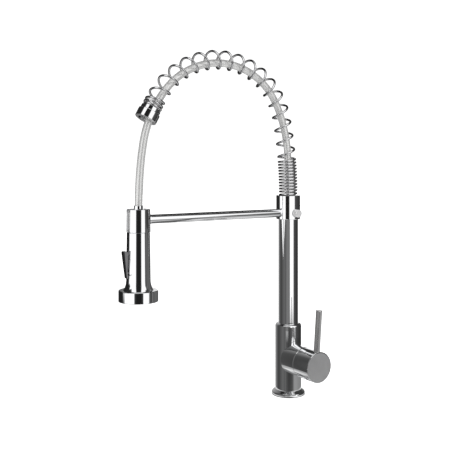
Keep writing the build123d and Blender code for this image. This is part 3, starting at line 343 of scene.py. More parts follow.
def made_by(name, mesh, tree, values, smooth_angle=None):
    """The plain mesh that a geometry node tree makes from a mesh and named values, as a piece."""
    worker = bpy.data.objects.new(name + "_tree", mesh)
    bpy.context.scene.collection.objects.link(worker)
    modifier = worker.modifiers.new("Tree", "NODES")
    modifier.node_group = tree
    for item in tree.interface.items_tree:
        if item.in_out == "INPUT" and item.name in values:
            modifier[item.identifier] = values[item.name]
    bpy.context.view_layer.update()
    evaluated = worker.evaluated_get(bpy.context.evaluated_depsgraph_get())
    result = bpy.data.meshes.new_from_object(evaluated)
    worker.modifiers.remove(modifier)
    bpy.data.objects.remove(worker)
    result.name = name
    result.shade_smooth()
    if smooth_angle is not None:
        result.set_sharp_from_angle(angle=math.radians(smooth_angle))
    return add_piece(name, result)


# The plate of every chromed piece: mirror bright, with a faint haze in clouds and a fine ripple.
polish, given, result = new_group(
    "Polished plate", "Shader", {"Haze": "Float"}, {"Roughness": "Float", "Normal": "Vector"},
)
place = add_node(polish, "ShaderNodeTexCoord")
cloud = add_node(polish, "ShaderNodeTexNoise", {"Scale": 60, "Detail": 4})
spread = add_node(polish, "ShaderNodeMapRange", {"From Min": 0.35, "From Max": 0.75, "To Min": 0.015})
ripple = add_node(polish, "ShaderNodeTexNoise", {"Scale": 900})
dent = add_node(polish, "ShaderNodeBump", {"Strength": 0.02, "Distance": 0.00005})
join(
    polish,
    (place.outputs["Object"], cloud.inputs["Vector"]),
    (place.outputs["Object"], ripple.inputs["Vector"]),
    (cloud.outputs["Fac"], spread.inputs["Value"]),
    (given["Haze"], spread.inputs["To Max"]),
    (spread.outputs["Result"], result["Roughness"]),
    (ripple.outputs["Fac"], dent.inputs["Height"]),
    (dent.outputs["Normal"], result["Normal"]),
)


def finished(name, colour, roughness, metallic, skin, values):
    """A material under a skin, whose outputs are wired to the shader's inputs of the same names."""
    material, tree, shader = new_material(name, colour, roughness, metallic)
    layer = add_node(tree, "ShaderNodeGroup", values, node_tree=skin)
    for output in layer.outputs:
        tree.links.new(output, shader.inputs[output.name])
    return material


def plated(name, colour, haze, metallic=1.0):
    """A metal finish with the polished plate's haze."""
    return finished(name, colour, 0.04, metallic, polish, {"Haze": haze})


wire_chrome = plated("spring_wire", (0.84, 0.84, 0.85), 0.05)
spring = made_by("spring_wound", axis_mesh, winding, {
    "Coil radius": coil_radius, "Wire radius": wire_radius, "Sides": 24, "Finish": wire_chrome,
})
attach(spring, "spout")
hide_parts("spring")

# ------------------------------------------------------------------ flange and deck seal
# The foot is a turned flange, chromed like all that shows. A rubber ring in a groove under it seals
# it to the deck, and the column stands in a shallow recess in its top.
chrome = plated("chrome", (0.93, 0.935, 0.945), 0.07)


def rounded(outline):
    """An outline in mm whose corners are rounded where their point has a third value, the radius."""
    lead, steps = 0.06, 6
    line = []
    for i, corner in enumerate(outline):
        here = Vector(corner[:2])
        if len(corner) < 3:
            line.append(here)
            continue
        back = (Vector(outline[i - 1][:2]) - here).normalized()
        ahead = (Vector(outline[(i + 1) % len(outline)][:2]) - here).normalized()
        half = back.angle(ahead) / 2
        centre = here + (back + ahead).normalized() * (corner[2] / math.sin(half))
        start = here + back * (corner[2] / math.tan(half)) - centre
        end = here + ahead * (corner[2] / math.tan(half)) - centre
        line.append(centre + start + back * lead)
        line.extend(centre + start.slerp(end, k / steps).normalized() * corner[2] for k in range(steps + 1))
        line.append(centre + end + ahead * lead)
    return line


def turned(name, outline, material, foot=(0, 0, 0), along=(0, 0, 1), closed=True, sides=128):
    """A piece turned about an axis. Its outline is radius and length along the axis, in mm."""
    bm = bmesh.new()
    rings = []
    for radius, length in rounded(outline):
        angles = [2 * math.pi * k / sides for k in range(sides)] if radius > 0.001 else [0]
        rings.append([bm.verts.new((radius * math.cos(a), radius * math.sin(a), length)) for a in angles])
    for low, high in zip(rings, rings[1:] + rings[:1] if closed else rings[1:]):
        for k in range(sides):
            n = (k + 1) % sides
            corners = [low[k % len(low)], low[n % len(low)], high[n % len(high)], high[k % len(high)]]
            corners = list(dict.fromkeys(corners))
            if len(corners) > 2:
                bm.faces.new(corners)
    bmesh.ops.recalc_face_normals(bm, faces=bm.faces)
    turn = Vector(along).to_track_quat("Z", "Y").to_matrix().to_4x4()
    bm.transform(Matrix.Scale(0.001, 4) @ Matrix.Translation(foot) @ turn)
    mesh = bpy.data.meshes.new(name)
    bm.to_mesh(mesh)
    bm.free()
    mesh.shade_smooth()
    mesh.set_sharp_from_angle(angle=math.radians(35))
    return add_piece(name, mesh, material)


flange = turned("foot_flange", [
    (16.75, 0), (25.0, 0, 0.3), (25.0, 4.0, 3.6), (19.9, 8.0, 0.15), (19.52, 8.0), (19.52, 3.0),
    (16.75, 3.0),
], chrome, sides=160)
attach(flange, "column")
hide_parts("base_flange")

# The skin of every moulded or fired piece: faint clouds in its shade and a fine grain.
moulded, given, result = new_group("Moulded skin", "Shader", {
    "Light": "Color", "Dark": "Color", "Grain": "Float", "Smooth": "Float", "Rough": "Float",
}, {"Base Color": "Color", "Roughness": "Float", "Normal": "Vector"})
place = add_node(moulded, "ShaderNodeTexCoord")
clouds = add_node(moulded, "ShaderNodeTexNoise", {"Scale": 90, "Detail": 3})
grain = add_node(moulded, "ShaderNodeTexNoise", {"Detail": 2})
tone = add_node(moulded, "ShaderNodeMix", data_type="RGBA")
gloss = add_node(moulded, "ShaderNodeMapRange")
relief = add_node(moulded, "ShaderNodeBump", {"Strength": 0.25, "Distance": 0.0001})
join(
    moulded,
    (place.outputs["Object"], clouds.inputs["Vector"]),
    (place.outputs["Object"], grain.inputs["Vector"]),
    (given["Grain"], grain.inputs["Scale"]),
    (clouds.outputs["Fac"], tone.inputs["Factor"]),
    (given["Dark"], tone.inputs["A"]),
    (given["Light"], tone.inputs["B"]),
    (tone.outputs["Result"], result["Base Color"]),
    (grain.outputs["Fac"], gloss.inputs["Value"]),
    (given["Smooth"], gloss.inputs["To Min"]),
    (given["Rough"], gloss.inputs["To Max"]),
    (gloss.outputs["Result"], result["Roughness"]),
    (grain.outputs["Fac"], relief.inputs["Height"]),
    (relief.outputs["Normal"], result["Normal"]),
)


def moulded_material(name, light, dark, grain_scale, smooth, rough):
    """A moulded or fired material between two shades and two degrees of gloss."""
    return finished(name, light, (smooth + rough) / 2, 0.0, moulded, {
        "Light": (*light, 1), "Dark": (*dark, 1), "Grain": grain_scale, "Smooth": smooth, "Rough": rough,
    })


def dress(material, *names):
    """Give carried-over pieces their finish."""
    for name in names:
        nodes[name].material_slots[0].material = material


rubber = moulded_material("rubber", (0.028, 0.028, 0.030), (0.012, 0.012, 0.013), 1400, 0.55, 0.85)
dress(rubber, "deck_seal")

# ------------------------------------------------------------------ column and barrel
# One brass casting, turned, polished and chromed: the upright column with its side barrel, the
# waterways and the chamber for the cartridge. It is held to the deck by a stud from below.


def away(point, foot, direction):
    """The shortest way to a point from the axis through a foot in this direction."""
    arm = point - foot
    return arm - direction * arm.dot(direction)


def shade_turned(mesh, axes):
    """Shade a mesh's turned faces as true rounds about their axes, each given as foot and direction."""
    crease = math.cos(math.radians(32))
    # a face counts as turned if it stands off the axis, faces along a plane through it and keeps its depth
    on_axis, least_facing, most_miss = 1e-5, 0.99, 2e-5
    axes = [(Vector(foot) / 1000, Vector(direction).normalized()) for foot, direction in axes]
    profiles = []
    for face in mesh.polygons:
        best = None
        for k, (foot, direction) in enumerate(axes):
            spoke = away(face.center, foot, direction)
            if spoke.length < on_axis:
                continue
            spoke.normalize()
            outward, onward = face.normal.dot(spoke), face.normal.dot(direction)
            if math.hypot(outward, onward) < least_facing:
                continue
            depths = []
            for index in face.vertices:
                corner = mesh.vertices[index].co
                reach = (corner - foot).dot(direction)
                depths.append(away(corner, foot, direction).length * outward + reach * onward)
            miss = max(depths) - min(depths)
            if miss < most_miss and (best is None or miss < best[0]):
                best = (miss, k, outward, onward, face.area)
        profiles.append(best)
    around = [[] for _ in mesh.vertices]
    for face in mesh.polygons:
        for index in face.vertices:
            around[index].append(face.index)
    normals = []
    for face in mesh.polygons:
        profile = profiles[face.index]
        for index in face.vertices:
            if profile is None:
                normals.append(face.normal.copy())
                continue
            _, k, outward, onward, _ = profile
            out_sum = on_sum = 0.0
            for other in around[index]:
                if profiles[other] and profiles[other][1] == k:
                    _, _, out, on, area = profiles[other]
                    if out * outward + on * onward > crease:
                        out_sum += out * area
                        on_sum += on * area
            foot, direction = axes[k]
            spoke = away(mesh.vertices[index].co, foot, direction)
            if spoke.length > on_axis / 10:
                spoke.normalize()
            normals.append((spoke * out_sum + direction * on_sum).normalized())
    mesh.shade_smooth()
    mesh.normals_split_custom_set(normals)


def fine_copy(name, node, material, *axes):
    """A merged copy of a piece's solid whose turned faces are shaded as true rounds."""
    mesh = nodes[node].data.copy()
    mesh.name = name
    mesh.materials.clear()
    bm = bmesh.new()
    bm.from_mesh(mesh)
    bmesh.ops.remove_doubles(bm, verts=bm.verts, dist=1e-6)
    bmesh.ops.dissolve_degenerate(bm, edges=bm.edges, dist=1e-7)
    bm.to_mesh(mesh)
    bm.free()
    shade_turned(mesh, axes)
    return add_piece(name, mesh, material)


column_axis = ((0, 0, 0), (0, 0, 1))
barrel_foot = (0, 0, 55)
barrel_axis = (barrel_foot, (1, 0, 0))
column = fine_copy("column_and_barrel", "valve_body", chrome, column_axis, barrel_axis)
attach(column, "column")
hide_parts("valve_body")

# ------------------------------------------------------------------ swivel
# The riser turns in an acetal bush on an acetal washer, sealed by two rubber rings on its brass
# spigot. A grub screw at the back keeps it down, and a domed ring on the column hides the joint.


def arc(centre, start, end, steps):
    """Points of the arc about a centre from one point to another, ends included."""
    first = math.atan2(start[1] - centre[1], start[0] - centre[0])
    span = math.remainder(math.atan2(end[1] - centre[1], end[0] - centre[0]) - first, 2 * math.pi)
    radius = math.dist(centre, start)
    angles = [first + span * k / steps for k in range(steps + 1)]
    return [(centre[0] + radius * math.cos(a), centre[1] + radius * math.sin(a)) for a in angles]


ring = turned("swivel_cover_ring", [
    *arc((14.907, 101.896), (19.5, 102.5), (15.42, 106.5), 12), (14.82, 106.5), (14.82, 102.5),
], chrome)
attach(ring, "column")
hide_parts("swivel_ring")

acetal = moulded_material("acetal", (0.80, 0.79, 0.75), (0.72, 0.71, 0.67), 700, 0.28, 0.45)
dress(acetal, "thrust_washer", "swivel_bush")
dress(rubber, "swivel_o_rings")

# Metal that was only machined: fine tool lines and a dull bloom over them.
machined, given, result = new_group("Machined skin", "Shader", {
    "Bright": "Color", "Dull": "Color", "Lines": "Float",
}, {"Base Color": "Color", "Roughness": "Float", "Normal": "Vector"})
place = add_node(machined, "ShaderNodeTexCoord")
bloom = add_node(machined, "ShaderNodeTexNoise", {"Scale": 160, "Detail": 5})
lines = add_node(machined, "ShaderNodeTexWave", {"Distortion": 1.5, "Detail": 2}, bands_direction="Z")
tint = add_node(machined, "ShaderNodeMix", data_type="RGBA")
dullness = add_node(machined, "ShaderNodeMapRange", {"To Min": 0.18, "To Max": 0.42})
cuts = add_node(machined, "ShaderNodeBump", {"Strength": 0.15, "Distance": 0.00005})
join(
    machined,
    (place.outputs["Object"], bloom.inputs["Vector"]),
    (place.outputs["Object"], lines.inputs["Vector"]),
    (given["Lines"], lines.inputs["Scale"]),
    (bloom.outputs["Fac"], tint.inputs["Factor"]),
    (given["Dull"], tint.inputs["A"]),
    (given["Bright"], tint.inputs["B"]),
    (tint.outputs["Result"], result["Base Color"]),
    (bloom.outputs["Fac"], dullness.inputs["Value"]),
    (dullness.outputs["Result"], result["Roughness"]),
    (lines.outputs["Fac"], cuts.inputs["Height"]),
    (cuts.outputs["Normal"], result["Normal"]),
)


def machined_material(name, bright, dull, line_scale):
    """A machined metal between two shades, with the scale of its tool lines."""
    return finished(name, bright, 0.3, 1.0, machined, {
        "Bright": (*bright, 1), "Dull": (*dull, 1), "Lines": line_scale,
    })


brass = machined_material("brass", (0.80, 0.60, 0.31), (0.58, 0.41, 0.19), 900)
steel = machined_material("steel_screw", (0.62, 0.62, 0.63), (0.42, 0.42, 0.44), 1200)
dress(brass, "swivel_spigot")
dress(steel, "retaining_screw")

# ------------------------------------------------------------------ cartridge
# Inside the barrel, all of it hidden: a moulded housing, two ceramic discs, their rubber port seals,
# and the carrier, pin and brass stem that the handle moves. A brass ring nut holds it in.
cartridge_plastic = moulded_material(
    "cartridge_plastic", (0.20, 0.205, 0.21), (0.14, 0.145, 0.15), 900, 0.35, 0.55,
)
ceramic = moulded_material("ceramic", (0.86, 0.85, 0.82), (0.80, 0.785, 0.75), 1600, 0.12, 0.24)
dress(cartridge_plastic, "cartridge_housing", "cartridge_base", "stem_carrier")
dress(ceramic, "fixed_disc", "moving_disc")
dress(rubber, "port_seals")
dress(brass, "cartridge_nut", "cartridge_stem")
dress(steel, "pivot_pin")

# The chromed ball cover closes the barrel's mouth. The handle's open back tilts and turns over it.
ball_centre, ball_outside, ball_inside = 26.0, 25.2, 23.4
mouth, hole, seat = 21.59, 13.5, 16.18


def on_ball(radius, out):
    """Outline point of a ball about the pivot that is this far out from the barrel's axis."""
    return (out, ball_centre + math.sqrt(radius**2 - out**2))


ball_cover = turned("ball_cover", [
    *arc((0, ball_centre), on_ball(ball_outside, mouth), on_ball(ball_outside, hole), 10),
    *arc((0, ball_centre), on_ball(ball_inside, hole), on_ball(ball_inside, seat), 4),
    (seat, 38.2), (17.58, 38.2), (17.58, 39.0),
], chrome, foot=barrel_foot, along=(1, 0, 0))
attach(ball_cover, "column")
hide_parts("dome_cover")

# ------------------------------------------------------------------ handle
# A chromed cap in line with the barrel, with a round pin lever screwed into its top. A satin disc is
# let into its front, and a grub screw from below clamps it on the cartridge's stem.
cap = fine_copy("handle_drum", "handle_cap", chrome, barrel_axis)
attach(cap, "handle")
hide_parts("handle_cap")

brushed = plated("brushed_pin", (0.90, 0.89, 0.89), 0.28, metallic=0.86)
lever_lean = math.radians(5)
lever_along = (math.sin(lever_lean), 0, math.cos(lever_lean))
lever = turned("pin_lever", [
    (0, 0), (4.5, 0, 0.3), (4.5, 67.8, 0.9), (0, 67.8),
], brushed, foot=(66.2, 0, 69.0), along=lever_along, closed=False, sides=96)
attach(lever, "handle")
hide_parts("lever_pin")

# The face is spun satin: rings about the barrel's axis in a soft nickel shade.
satin, tree, shader = new_material("satin_face", (0.57, 0.57, 0.57), 0.42, 0.6)
place = add_node(tree, "ShaderNodeTexCoord")
centred = add_node(tree, "ShaderNodeMapping", {"Location": (0, 0, -barrel_foot[2] / 1000)})
spun = add_node(
    tree, "ShaderNodeTexWave", {"Scale": 900, "Distortion": 0.6, "Detail": 2},
    wave_type="RINGS", rings_direction="X",
)
mottle = add_node(tree, "ShaderNodeTexNoise", {"Scale": 120})
shade = colour_ramp(tree, mottle.outputs["Fac"], ((0.0, (0.53, 0.53, 0.535)), (1.0, (0.61, 0.61, 0.615))))
gloss = add_node(tree, "ShaderNodeMapRange", {"To Min": 0.36, "To Max": 0.48})
score = add_node(tree, "ShaderNodeBump", {"Strength": 0.06, "Distance": 0.00004})
join(
    tree,
    (place.outputs["Object"], centred.inputs["Vector"]),
    (centred.outputs["Vector"], spun.inputs["Vector"]),
    (centred.outputs["Vector"], mottle.inputs["Vector"]),
    (shade, shader.inputs["Base Color"]),
    (spun.outputs["Fac"], gloss.inputs["Value"]),
    (gloss.outputs["Result"], shader.inputs["Roughness"]),
    (spun.outputs["Fac"], score.inputs["Height"]),
    (score.outputs["Normal"], shader.inputs["Normal"]),
)
face_disc = turned("handle_face_disc", [
    (0, 71.6), (20.6, 71.6), (20.6, 72.4, 0.25), (0, 72.4),
], satin, foot=barrel_foot, along=(1, 0, 0), closed=False)
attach(face_disc, "handle")
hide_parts("handle_face")
dress(steel, "handle_screw")

# ------------------------------------------------------------------ riser
# A chromed brass tube that turns in the column. Its foot has the groove that the grub screw runs in,
# and a brass plug in its top carries the spring and starts the hose.
riser = turned("riser_tube", [
    (13.0, 87.5), (14.75, 87.5, 0.2), (14.75, 92.2), (13.95, 92.2), (13.95, 97.8), (14.75, 97.8),
    (14.75, 286.0, 0.3), (13.0, 286.0),
], chrome, sides=160)
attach(riser, "spout")
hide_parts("riser")
dress(brass, "spring_seat")

# ------------------------------------------------------------------ collar and thumb screw
# A turned collar slides on the riser, holds the docking arm and hides the spring's foot. A small
# round thumb screw in its side clamps it.
collar = fine_copy("arm_collar_sleeve", "arm_collar", chrome, column_axis)
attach(collar, "spout")
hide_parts("arm_collar")

fine_turned = plated("fine_turned", (0.96, 0.96, 0.965), 0.30, metallic=0.2)
arm_height = 271.3
knob = turned("thumb_knob", [
    (0, 14.8), (2.5, 14.8, 0.2), (2.5, 18.4), (5.8, 18.4, 0.3), (5.8, 26.0, 0.9), (0, 26.0),
], fine_turned, foot=(0, 0, arm_height), along=(1, 0, 0), closed=False, sides=96)
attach(knob, "thumb_screw")
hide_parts("lock_knob")

# ------------------------------------------------------------------ docking arm and holder
# A straight chromed rod from the collar, and the split sleeve at its end that the spray head's neck
# docks in, lined with plastic. The hose passes in through the sleeve's slot.
arm = turned("docking_rod", [
    (0, 14.85), (6.2, 14.85), (6.2, 234.9), (0, 234.9),
], chrome, foot=(0, 0, arm_height), along=(0, -1, 0), closed=False, sides=96)
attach(arm, "spout")
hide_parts("docking_arm")

head_foot = (0, -spout_mm, 0)
head_axis = (head_foot, (0, 0, 1))
sleeve = fine_copy("docking_sleeve", "docking_holder", chrome, head_axis)
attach(sleeve, "spout")
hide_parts("docking_holder")

dock_plastic = moulded_material("dock_plastic", (0.80, 0.80, 0.80), (0.72, 0.72, 0.725), 800, 0.30, 0.42)
dress(dock_plastic, "holder_liner")

# ------------------------------------------------------------------ end cap
# A turned cap, chromed, that closes the spring's loose end. The hose slides through its bore.
cap_end, cap_lean = arch_point(arch_length)
end_cap = turned("spring_end_cap_ring", [
    (10.4, 0), (15.25, 0, 0.7), (15.25, 12.0, 0.7), (13.7, 12.0), (13.7, 17.5, 0.2), (10.4, 17.5),
], chrome, foot=cap_end * 1000, along=(0, math.sin(cap_lean), -math.cos(cap_lean)))
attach(end_cap, "spout")
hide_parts("spring_end_cap")

# ------------------------------------------------------------------ spray head
# A moulded neck, a chromed shell that flares out, and a chromed drum round the spray face. The
# hose is crimped into the neck.
neck = turned("head_neck_plug", [
    (4.0, 242.9), (9.0, 242.9, 0.3), (9.0, 254.9), (12.7, 254.9), (12.7, 281.0, 1.3), (4.0, 281.0, 0.3),
], dock_plastic, foot=head_foot)
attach(neck, "spray_head")
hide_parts("head_neck")

crimp = turned("hose_crimp_ring", [
    (5.4, 281.0), (6.1, 281.0, 0.15), (6.1, 290.0, 0.4), (5.4, 290.0),
], chrome, foot=head_foot, sides=96)
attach(crimp, "spray_head")
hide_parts("hose_crimp")

shell = fine_copy("head_shell_flared", "head_shell", chrome, head_axis)
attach(shell, "spray_head")
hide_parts("head_shell")

skirt = turned("head_drum", [
    (23.9, 163.4), (26.5, 163.4, 0.6), (26.5, 178.4, 1.2), (12.02, 178.4), (12.02, 175.8), (23.9, 175.8),
], chrome, foot=head_foot, sides=160)
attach(skirt, "spray_head")
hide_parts("head_skirt")

# The spray face is a moulded plate with three rings of soft nozzles round the aerator.
spray_plastic = moulded_material("spray_plastic", (0.33, 0.335, 0.34), (0.27, 0.275, 0.28), 900, 0.30, 0.45)
dress(spray_plastic, "flow_divider", "spray_plate")
dress(acetal, "aerator")

nozzle_rubber = moulded_material(
    "nozzle_rubber", (0.10, 0.10, 0.105), (0.07, 0.07, 0.075), 1500, 0.45, 0.65,
)
nozzles, given, result = new_group("Nozzle rings", "Geometry", {
    "Inner ring": "Float", "Middle ring": "Float", "Outer ring": "Float", "Foot radius": "Float",
    "Tip radius": "Float", "Height": "Float", "Face height": "Float", "Reach": "Float",
    "Finish": "Material",
}, {"Nozzles": "Geometry"})
rings_joined = add_node(nozzles, "GeometryNodeJoinGeometry")
for label, count in (("Outer ring", 24), ("Middle ring", 18), ("Inner ring", 14)):
    ring_of = add_node(nozzles, "GeometryNodeMeshCircle", {"Vertices": count})
    join(
        nozzles,
        (given[label], ring_of.inputs["Radius"]),
        (ring_of.outputs["Mesh"], rings_joined.inputs["Geometry"]),
    )
tip = add_node(nozzles, "GeometryNodeMeshCone", {"Vertices": 12})
on_points = add_node(nozzles, "GeometryNodeInstanceOnPoints")
real = add_node(nozzles, "GeometryNodeRealizeInstances")
down = add_node(nozzles, "ShaderNodeMath", operation="SUBTRACT")
level = add_node(nozzles, "ShaderNodeCombineXYZ")
back = add_node(nozzles, "ShaderNodeMath", {1: -1}, operation="MULTIPLY")
placed = add_node(nozzles, "GeometryNodeTransform")
paint = add_node(nozzles, "GeometryNodeSetMaterial")
join(
    nozzles,
    (rings_joined.outputs["Geometry"], on_points.inputs["Points"]),
    (given["Foot radius"], tip.inputs["Radius Top"]),
    (given["Tip radius"], tip.inputs["Radius Bottom"]),
    (given["Height"], tip.inputs["Depth"]),
    (tip.outputs["Mesh"], on_points.inputs["Instance"]),
    (on_points.outputs["Instances"], real.inputs["Geometry"]),
    (given["Face height"], down.inputs[0]),
    (given["Height"], down.inputs[1]),
    (down.outputs[0], level.inputs["Z"]),
    (given["Reach"], back.inputs[0]),
    (back.outputs[0], level.inputs["Y"]),
    (level.outputs["Vector"], placed.inputs["Translation"]),
    (real.outputs["Geometry"], placed.inputs["Geometry"]),
    (placed.outputs["Geometry"], paint.inputs["Geometry"]),
    (given["Finish"], paint.inputs["Material"]),
    (paint.outputs["Geometry"], result["Nozzles"]),
)
spray_tips = made_by("spray_tips", bpy.data.meshes.new("spray_tips_start"), nozzles, {
    "Inner ring": 0.0125, "Middle ring": 0.0165, "Outer ring": 0.0205, "Foot radius": 0.0009,
    "Tip radius": 0.00068, "Height": 0.0009, "Face height": 0.1644, "Reach": spout_reach,
    "Finish": nozzle_rubber,
}, smooth_angle=40)
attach(spray_tips, "spray_head")
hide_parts("spray_nozzles")

# ------------------------------------------------------------------ trigger
# A cast and chromed lever with bevelled sides, hung on a steel pin in the shell's recess. It pushes a
# steel plunger in, which changes the stream to spray.
trigger_mesh = nodes["spray_trigger"].data.copy()
trigger_mesh.name = "spray_lever"
trigger_mesh.materials.clear()
bm = bmesh.new()
bm.from_mesh(trigger_mesh)
bmesh.ops.remove_doubles(bm, verts=bm.verts, dist=1e-6)
bmesh.ops.dissolve_limit(bm, angle_limit=math.radians(1), verts=bm.verts, edges=bm.edges)
pin_foot, pin_direction = Vector((0, -0.2636, 0.1996)), Vector((1, 0, 0))
pin_bore, bevel_width = 0.0017, 0.00035
corners = [
    edge for edge in bm.edges
    if len(edge.link_faces) == 2 and edge.calc_face_angle() > math.radians(20)
    and all(away(vertex.co, pin_foot, pin_direction).length > pin_bore for vertex in edge.verts)
]
bmesh.ops.bevel(
    bm, geom=corners, offset=bevel_width, segments=3, profile=0.5, affect="EDGES", clamp_overlap=True,
)
bmesh.ops.recalc_face_normals(bm, faces=bm.faces)
bm.to_mesh(trigger_mesh)
bm.free()
trigger_mesh.shade_smooth()
trigger_mesh.set_sharp_from_angle(angle=math.radians(40))
# The chromed lever gets a dark base colour: painted shade, standing in for the dark surroundings that its
# chrome reflects.
trigger = add_piece("spray_lever", trigger_mesh, plated("chrome_with_painted_shade", (0.17, 0.17, 0.175), 0.12))
evener = trigger.modifiers.new("Even", "WEIGHTED_NORMAL")
evener.keep_sharp = True
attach(trigger, "trigger")
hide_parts("spray_trigger")
dress(steel, "trigger_pin", "valve_plunger")

# ------------------------------------------------------------------ studio
# Photographed on white: a white sweep, and a white tent with dark walls and cards that draw the dark
# bands in the plate. The tent is the world's light. Only mirrors see its walls and the cards.
white, soft_light, studio_strength = 1.0, 0.60, 1.12
world = bpy.data.worlds.new("Tent")
world.use_nodes = True
bpy.context.scene.world = world
tent = world.node_tree


def worked_out(operation, *values):
    """The result of a maths node of the tent on sockets or numbers."""
    node = add_node(tent, "ShaderNodeMath", operation=operation)
    for slot, value in zip(node.inputs, values):
        if isinstance(value, (int, float)):
            slot.default_value = value
        else:
            tent.links.new(value, slot)
    return node.outputs[0]


def mixed(share, base, other):
    """The tent's light between two sockets or greys."""
    node = add_node(tent, "ShaderNodeMix", data_type="RGBA")
    tent.links.new(share, node.inputs["Factor"])
    for value, slot in ((base, node.inputs["A"]), (other, node.inputs["B"])):
        if isinstance(value, float):
            slot.default_value = (value, value, value, 1)
        else:
            tent.links.new(value, slot)
    return node.outputs["Result"]


# Bearings are counted from the camera's side of the faucet, positive to the picture's right.
direction = add_node(tent, "ShaderNodeTexCoord")
apart = add_node(tent, "ShaderNodeSeparateXYZ")
tent.links.new(direction.outputs["Generated"], apart.inputs["Vector"])
bearing = worked_out("ARCTAN2", apart.outputs["Y"], apart.outputs["X"])
bearing = worked_out("SUBTRACT", bearing, math.atan2(toward_camera[1], toward_camera[0]))
bearing = worked_out("WRAP", bearing, math.pi, -math.pi)
bearing = worked_out("DIVIDE", bearing, 2 * math.pi)
bearing = worked_out("ADD", bearing, 0.5)
height = worked_out("ARCSINE", apart.outputs["Z"])

# Rows of the tent: the height in degrees above level, and the brightness at bearings in degrees.
left_edge = ((-180, white), (-176, white), (-172, 0.03), (-110, 0.012))
right_wall = (
    (66, white), (71, 0.14), (85, 0.06), (110, 0.05), (144, 0.08), (162, 0.14), (172, white), (180, white),
)
tent_rows = (
    (-80, ((-180, 0.45), (180, 0.45))),
    (-52, ((-180, 0.35), (-120, 0.40), (0, 0.45), (70, 0.6), (110, 0.78), (180, 0.5))),
    (-38, ((-180, 0.20), (-150, 0.22), (-141, 0.42), (-122, 0.45), (-100, 0.12), (-60, 0.20), (0, 0.20),
           (60, 0.40), (78, 0.45), (100, 0.15), (180, 0.30))),
    (-26, ((-180, 0.30), (-150, 0.10), (-122, 0.22), (-105, 0.06), (-60, 0.10), (0, 0.08), (55, 0.22),
           (75, 0.32), (95, 0.20), (140, 0.12), (180, 0.25))),
    (-15.5, ((-180, 0.28), (-150, 0.20), (-128, 0.06), (-110, 0.035), (-95, 0.06), (-60, 0.11), (-36, 0.13),
             (-18, 0.07), (0, 0.04), (16, 0.045), (34, 0.07), (43, 0.17), (52, 0.27), (97, 0.23),
             (150, 0.21), (180, 0.25))),
    (-13.5, ((-180, 0.28), (-150, 0.20), (-128, 0.05), (-110, 0.035), (-95, 0.06), (-60, 0.11), (-36, 0.13),
             (-18, 0.07), (0, 0.045), (16, 0.06), (25, 0.08), (34, 0.13), (43, 0.15), (50, 0.055),
             (73, 0.047), (97, 0.032), (130, 0.024), (180, 0.25))),
    (-10.8, ((-180, white), (-174, white), (-169, 0.03), (-110, 0.012), (-82, 0.03), (-76, white),
             *right_wall)),
    (-9.2, (*left_edge, (-94, 0.03), (-88, white), *right_wall)),
    (-3, (*left_edge, (-94, 0.03), (-88, white), *right_wall)),
    (7, (*left_edge, (-80, 0.02), (-74, white), *right_wall)),
    (14, (*left_edge, (-76, 0.02), (-70, white), *right_wall)),
    (24, ((-180, 0.03), (-110, 0.015), (-80, 0.02), (-74, white), (72, white), (80, 0.05), (180, 0.03))),
    (34, ((-180, 0.03), (-110, 0.015), (-82, 0.02), (-76, white), (76, white), (84, 0.05), (180, 0.03))),
    (38, ((-180, 0.03), (-158, 0.04), (-153, white), (-140, white), (-135, 0.24), (-122, 0.22),
          (-114, 0.02), (-84, 0.02), (-78, white), (70, white), (78, 0.05), (180, 0.03))),
    (56, ((-180, 0.03), (-150, 0.10), (-120, 0.08), (-100, 0.03), (-88, 0.03), (-80, 0.9), (66, 0.9),
          (78, 0.04), (180, 0.03))),
    (78, ((-180, 0.03), (-110, 0.04), (-60, 0.22), (60, 0.22), (110, 0.04), (180, 0.03))),
)
inside = last_angle = None
for angle, stops in tent_rows:
    row = colour_ramp(tent, bearing, [(degrees / 360 + 0.5, brightness) for degrees, brightness in stops])
    if inside is None:
        inside = row
    else:
        share = add_node(tent, "ShaderNodeMapRange", {
            "From Min": math.radians(last_angle), "From Max": math.radians(angle),
        })
        tent.links.new(height, share.inputs["Value"])
        inside = mixed(share.outputs["Result"], inside, row)
    last_angle = angle

light_path = add_node(tent, "ShaderNodeLightPath")
mirrored = mixed(light_path.outputs["Is Glossy Ray"], soft_light, inside)
seen = mixed(light_path.outputs["Is Camera Ray"], mirrored, white)
background = tent.nodes["Background"]
background.inputs["Strength"].default_value = studio_strength
tent.links.new(seen, background.inputs["Color"])


def studio_card(name, feet, tops, stops):
    """A glowing card between two rows of points, seen by mirrors only. Its brightness runs along it."""
    mesh = bpy.data.meshes.new(name)
    bm = bmesh.new()
    wrap = bm.loops.layers.uv.new("Card")
    low = [bm.verts.new(point) for point in feet]
    high = [bm.verts.new(point) for point in tops]
    count = len(low) - 1
    for k in range(count):
        face = bm.faces.new((low[k], low[k + 1], high[k + 1], high[k]))
        for loop, (u, v) in zip(face.loops, ((k, 0), (k + 1, 0), (k + 1, 1), (k, 1))):
            loop[wrap].uv = (u / count, v)
    bm.to_mesh(mesh)
    bm.free()
    material, tree, shader = new_material(name, (0, 0, 0), 1.0)
    set_values(shader, {"Specular IOR Level": 0.0, "Emission Strength": studio_strength})
    unwrap = add_node(tree, "ShaderNodeUVMap", uv_map="Card")
    apart = add_node(tree, "ShaderNodeSeparateXYZ")
    tree.links.new(unwrap.outputs["UV"], apart.inputs["Vector"])
    tree.links.new(colour_ramp(tree, apart.outputs["X"], stops), shader.inputs["Emission Color"])
    card = add_piece(name, mesh, material)
    for ray in ("camera", "diffuse", "shadow", "transmission", "volume_scatter"):
        setattr(card, "visible_" + ray, False)


def in_studio(toward, right, z):
    """A point so far from the column toward the camera and to the picture's right, at a height."""
    x, y = toward_camera
    return (x * toward - y * right, y * toward + x * right, z)


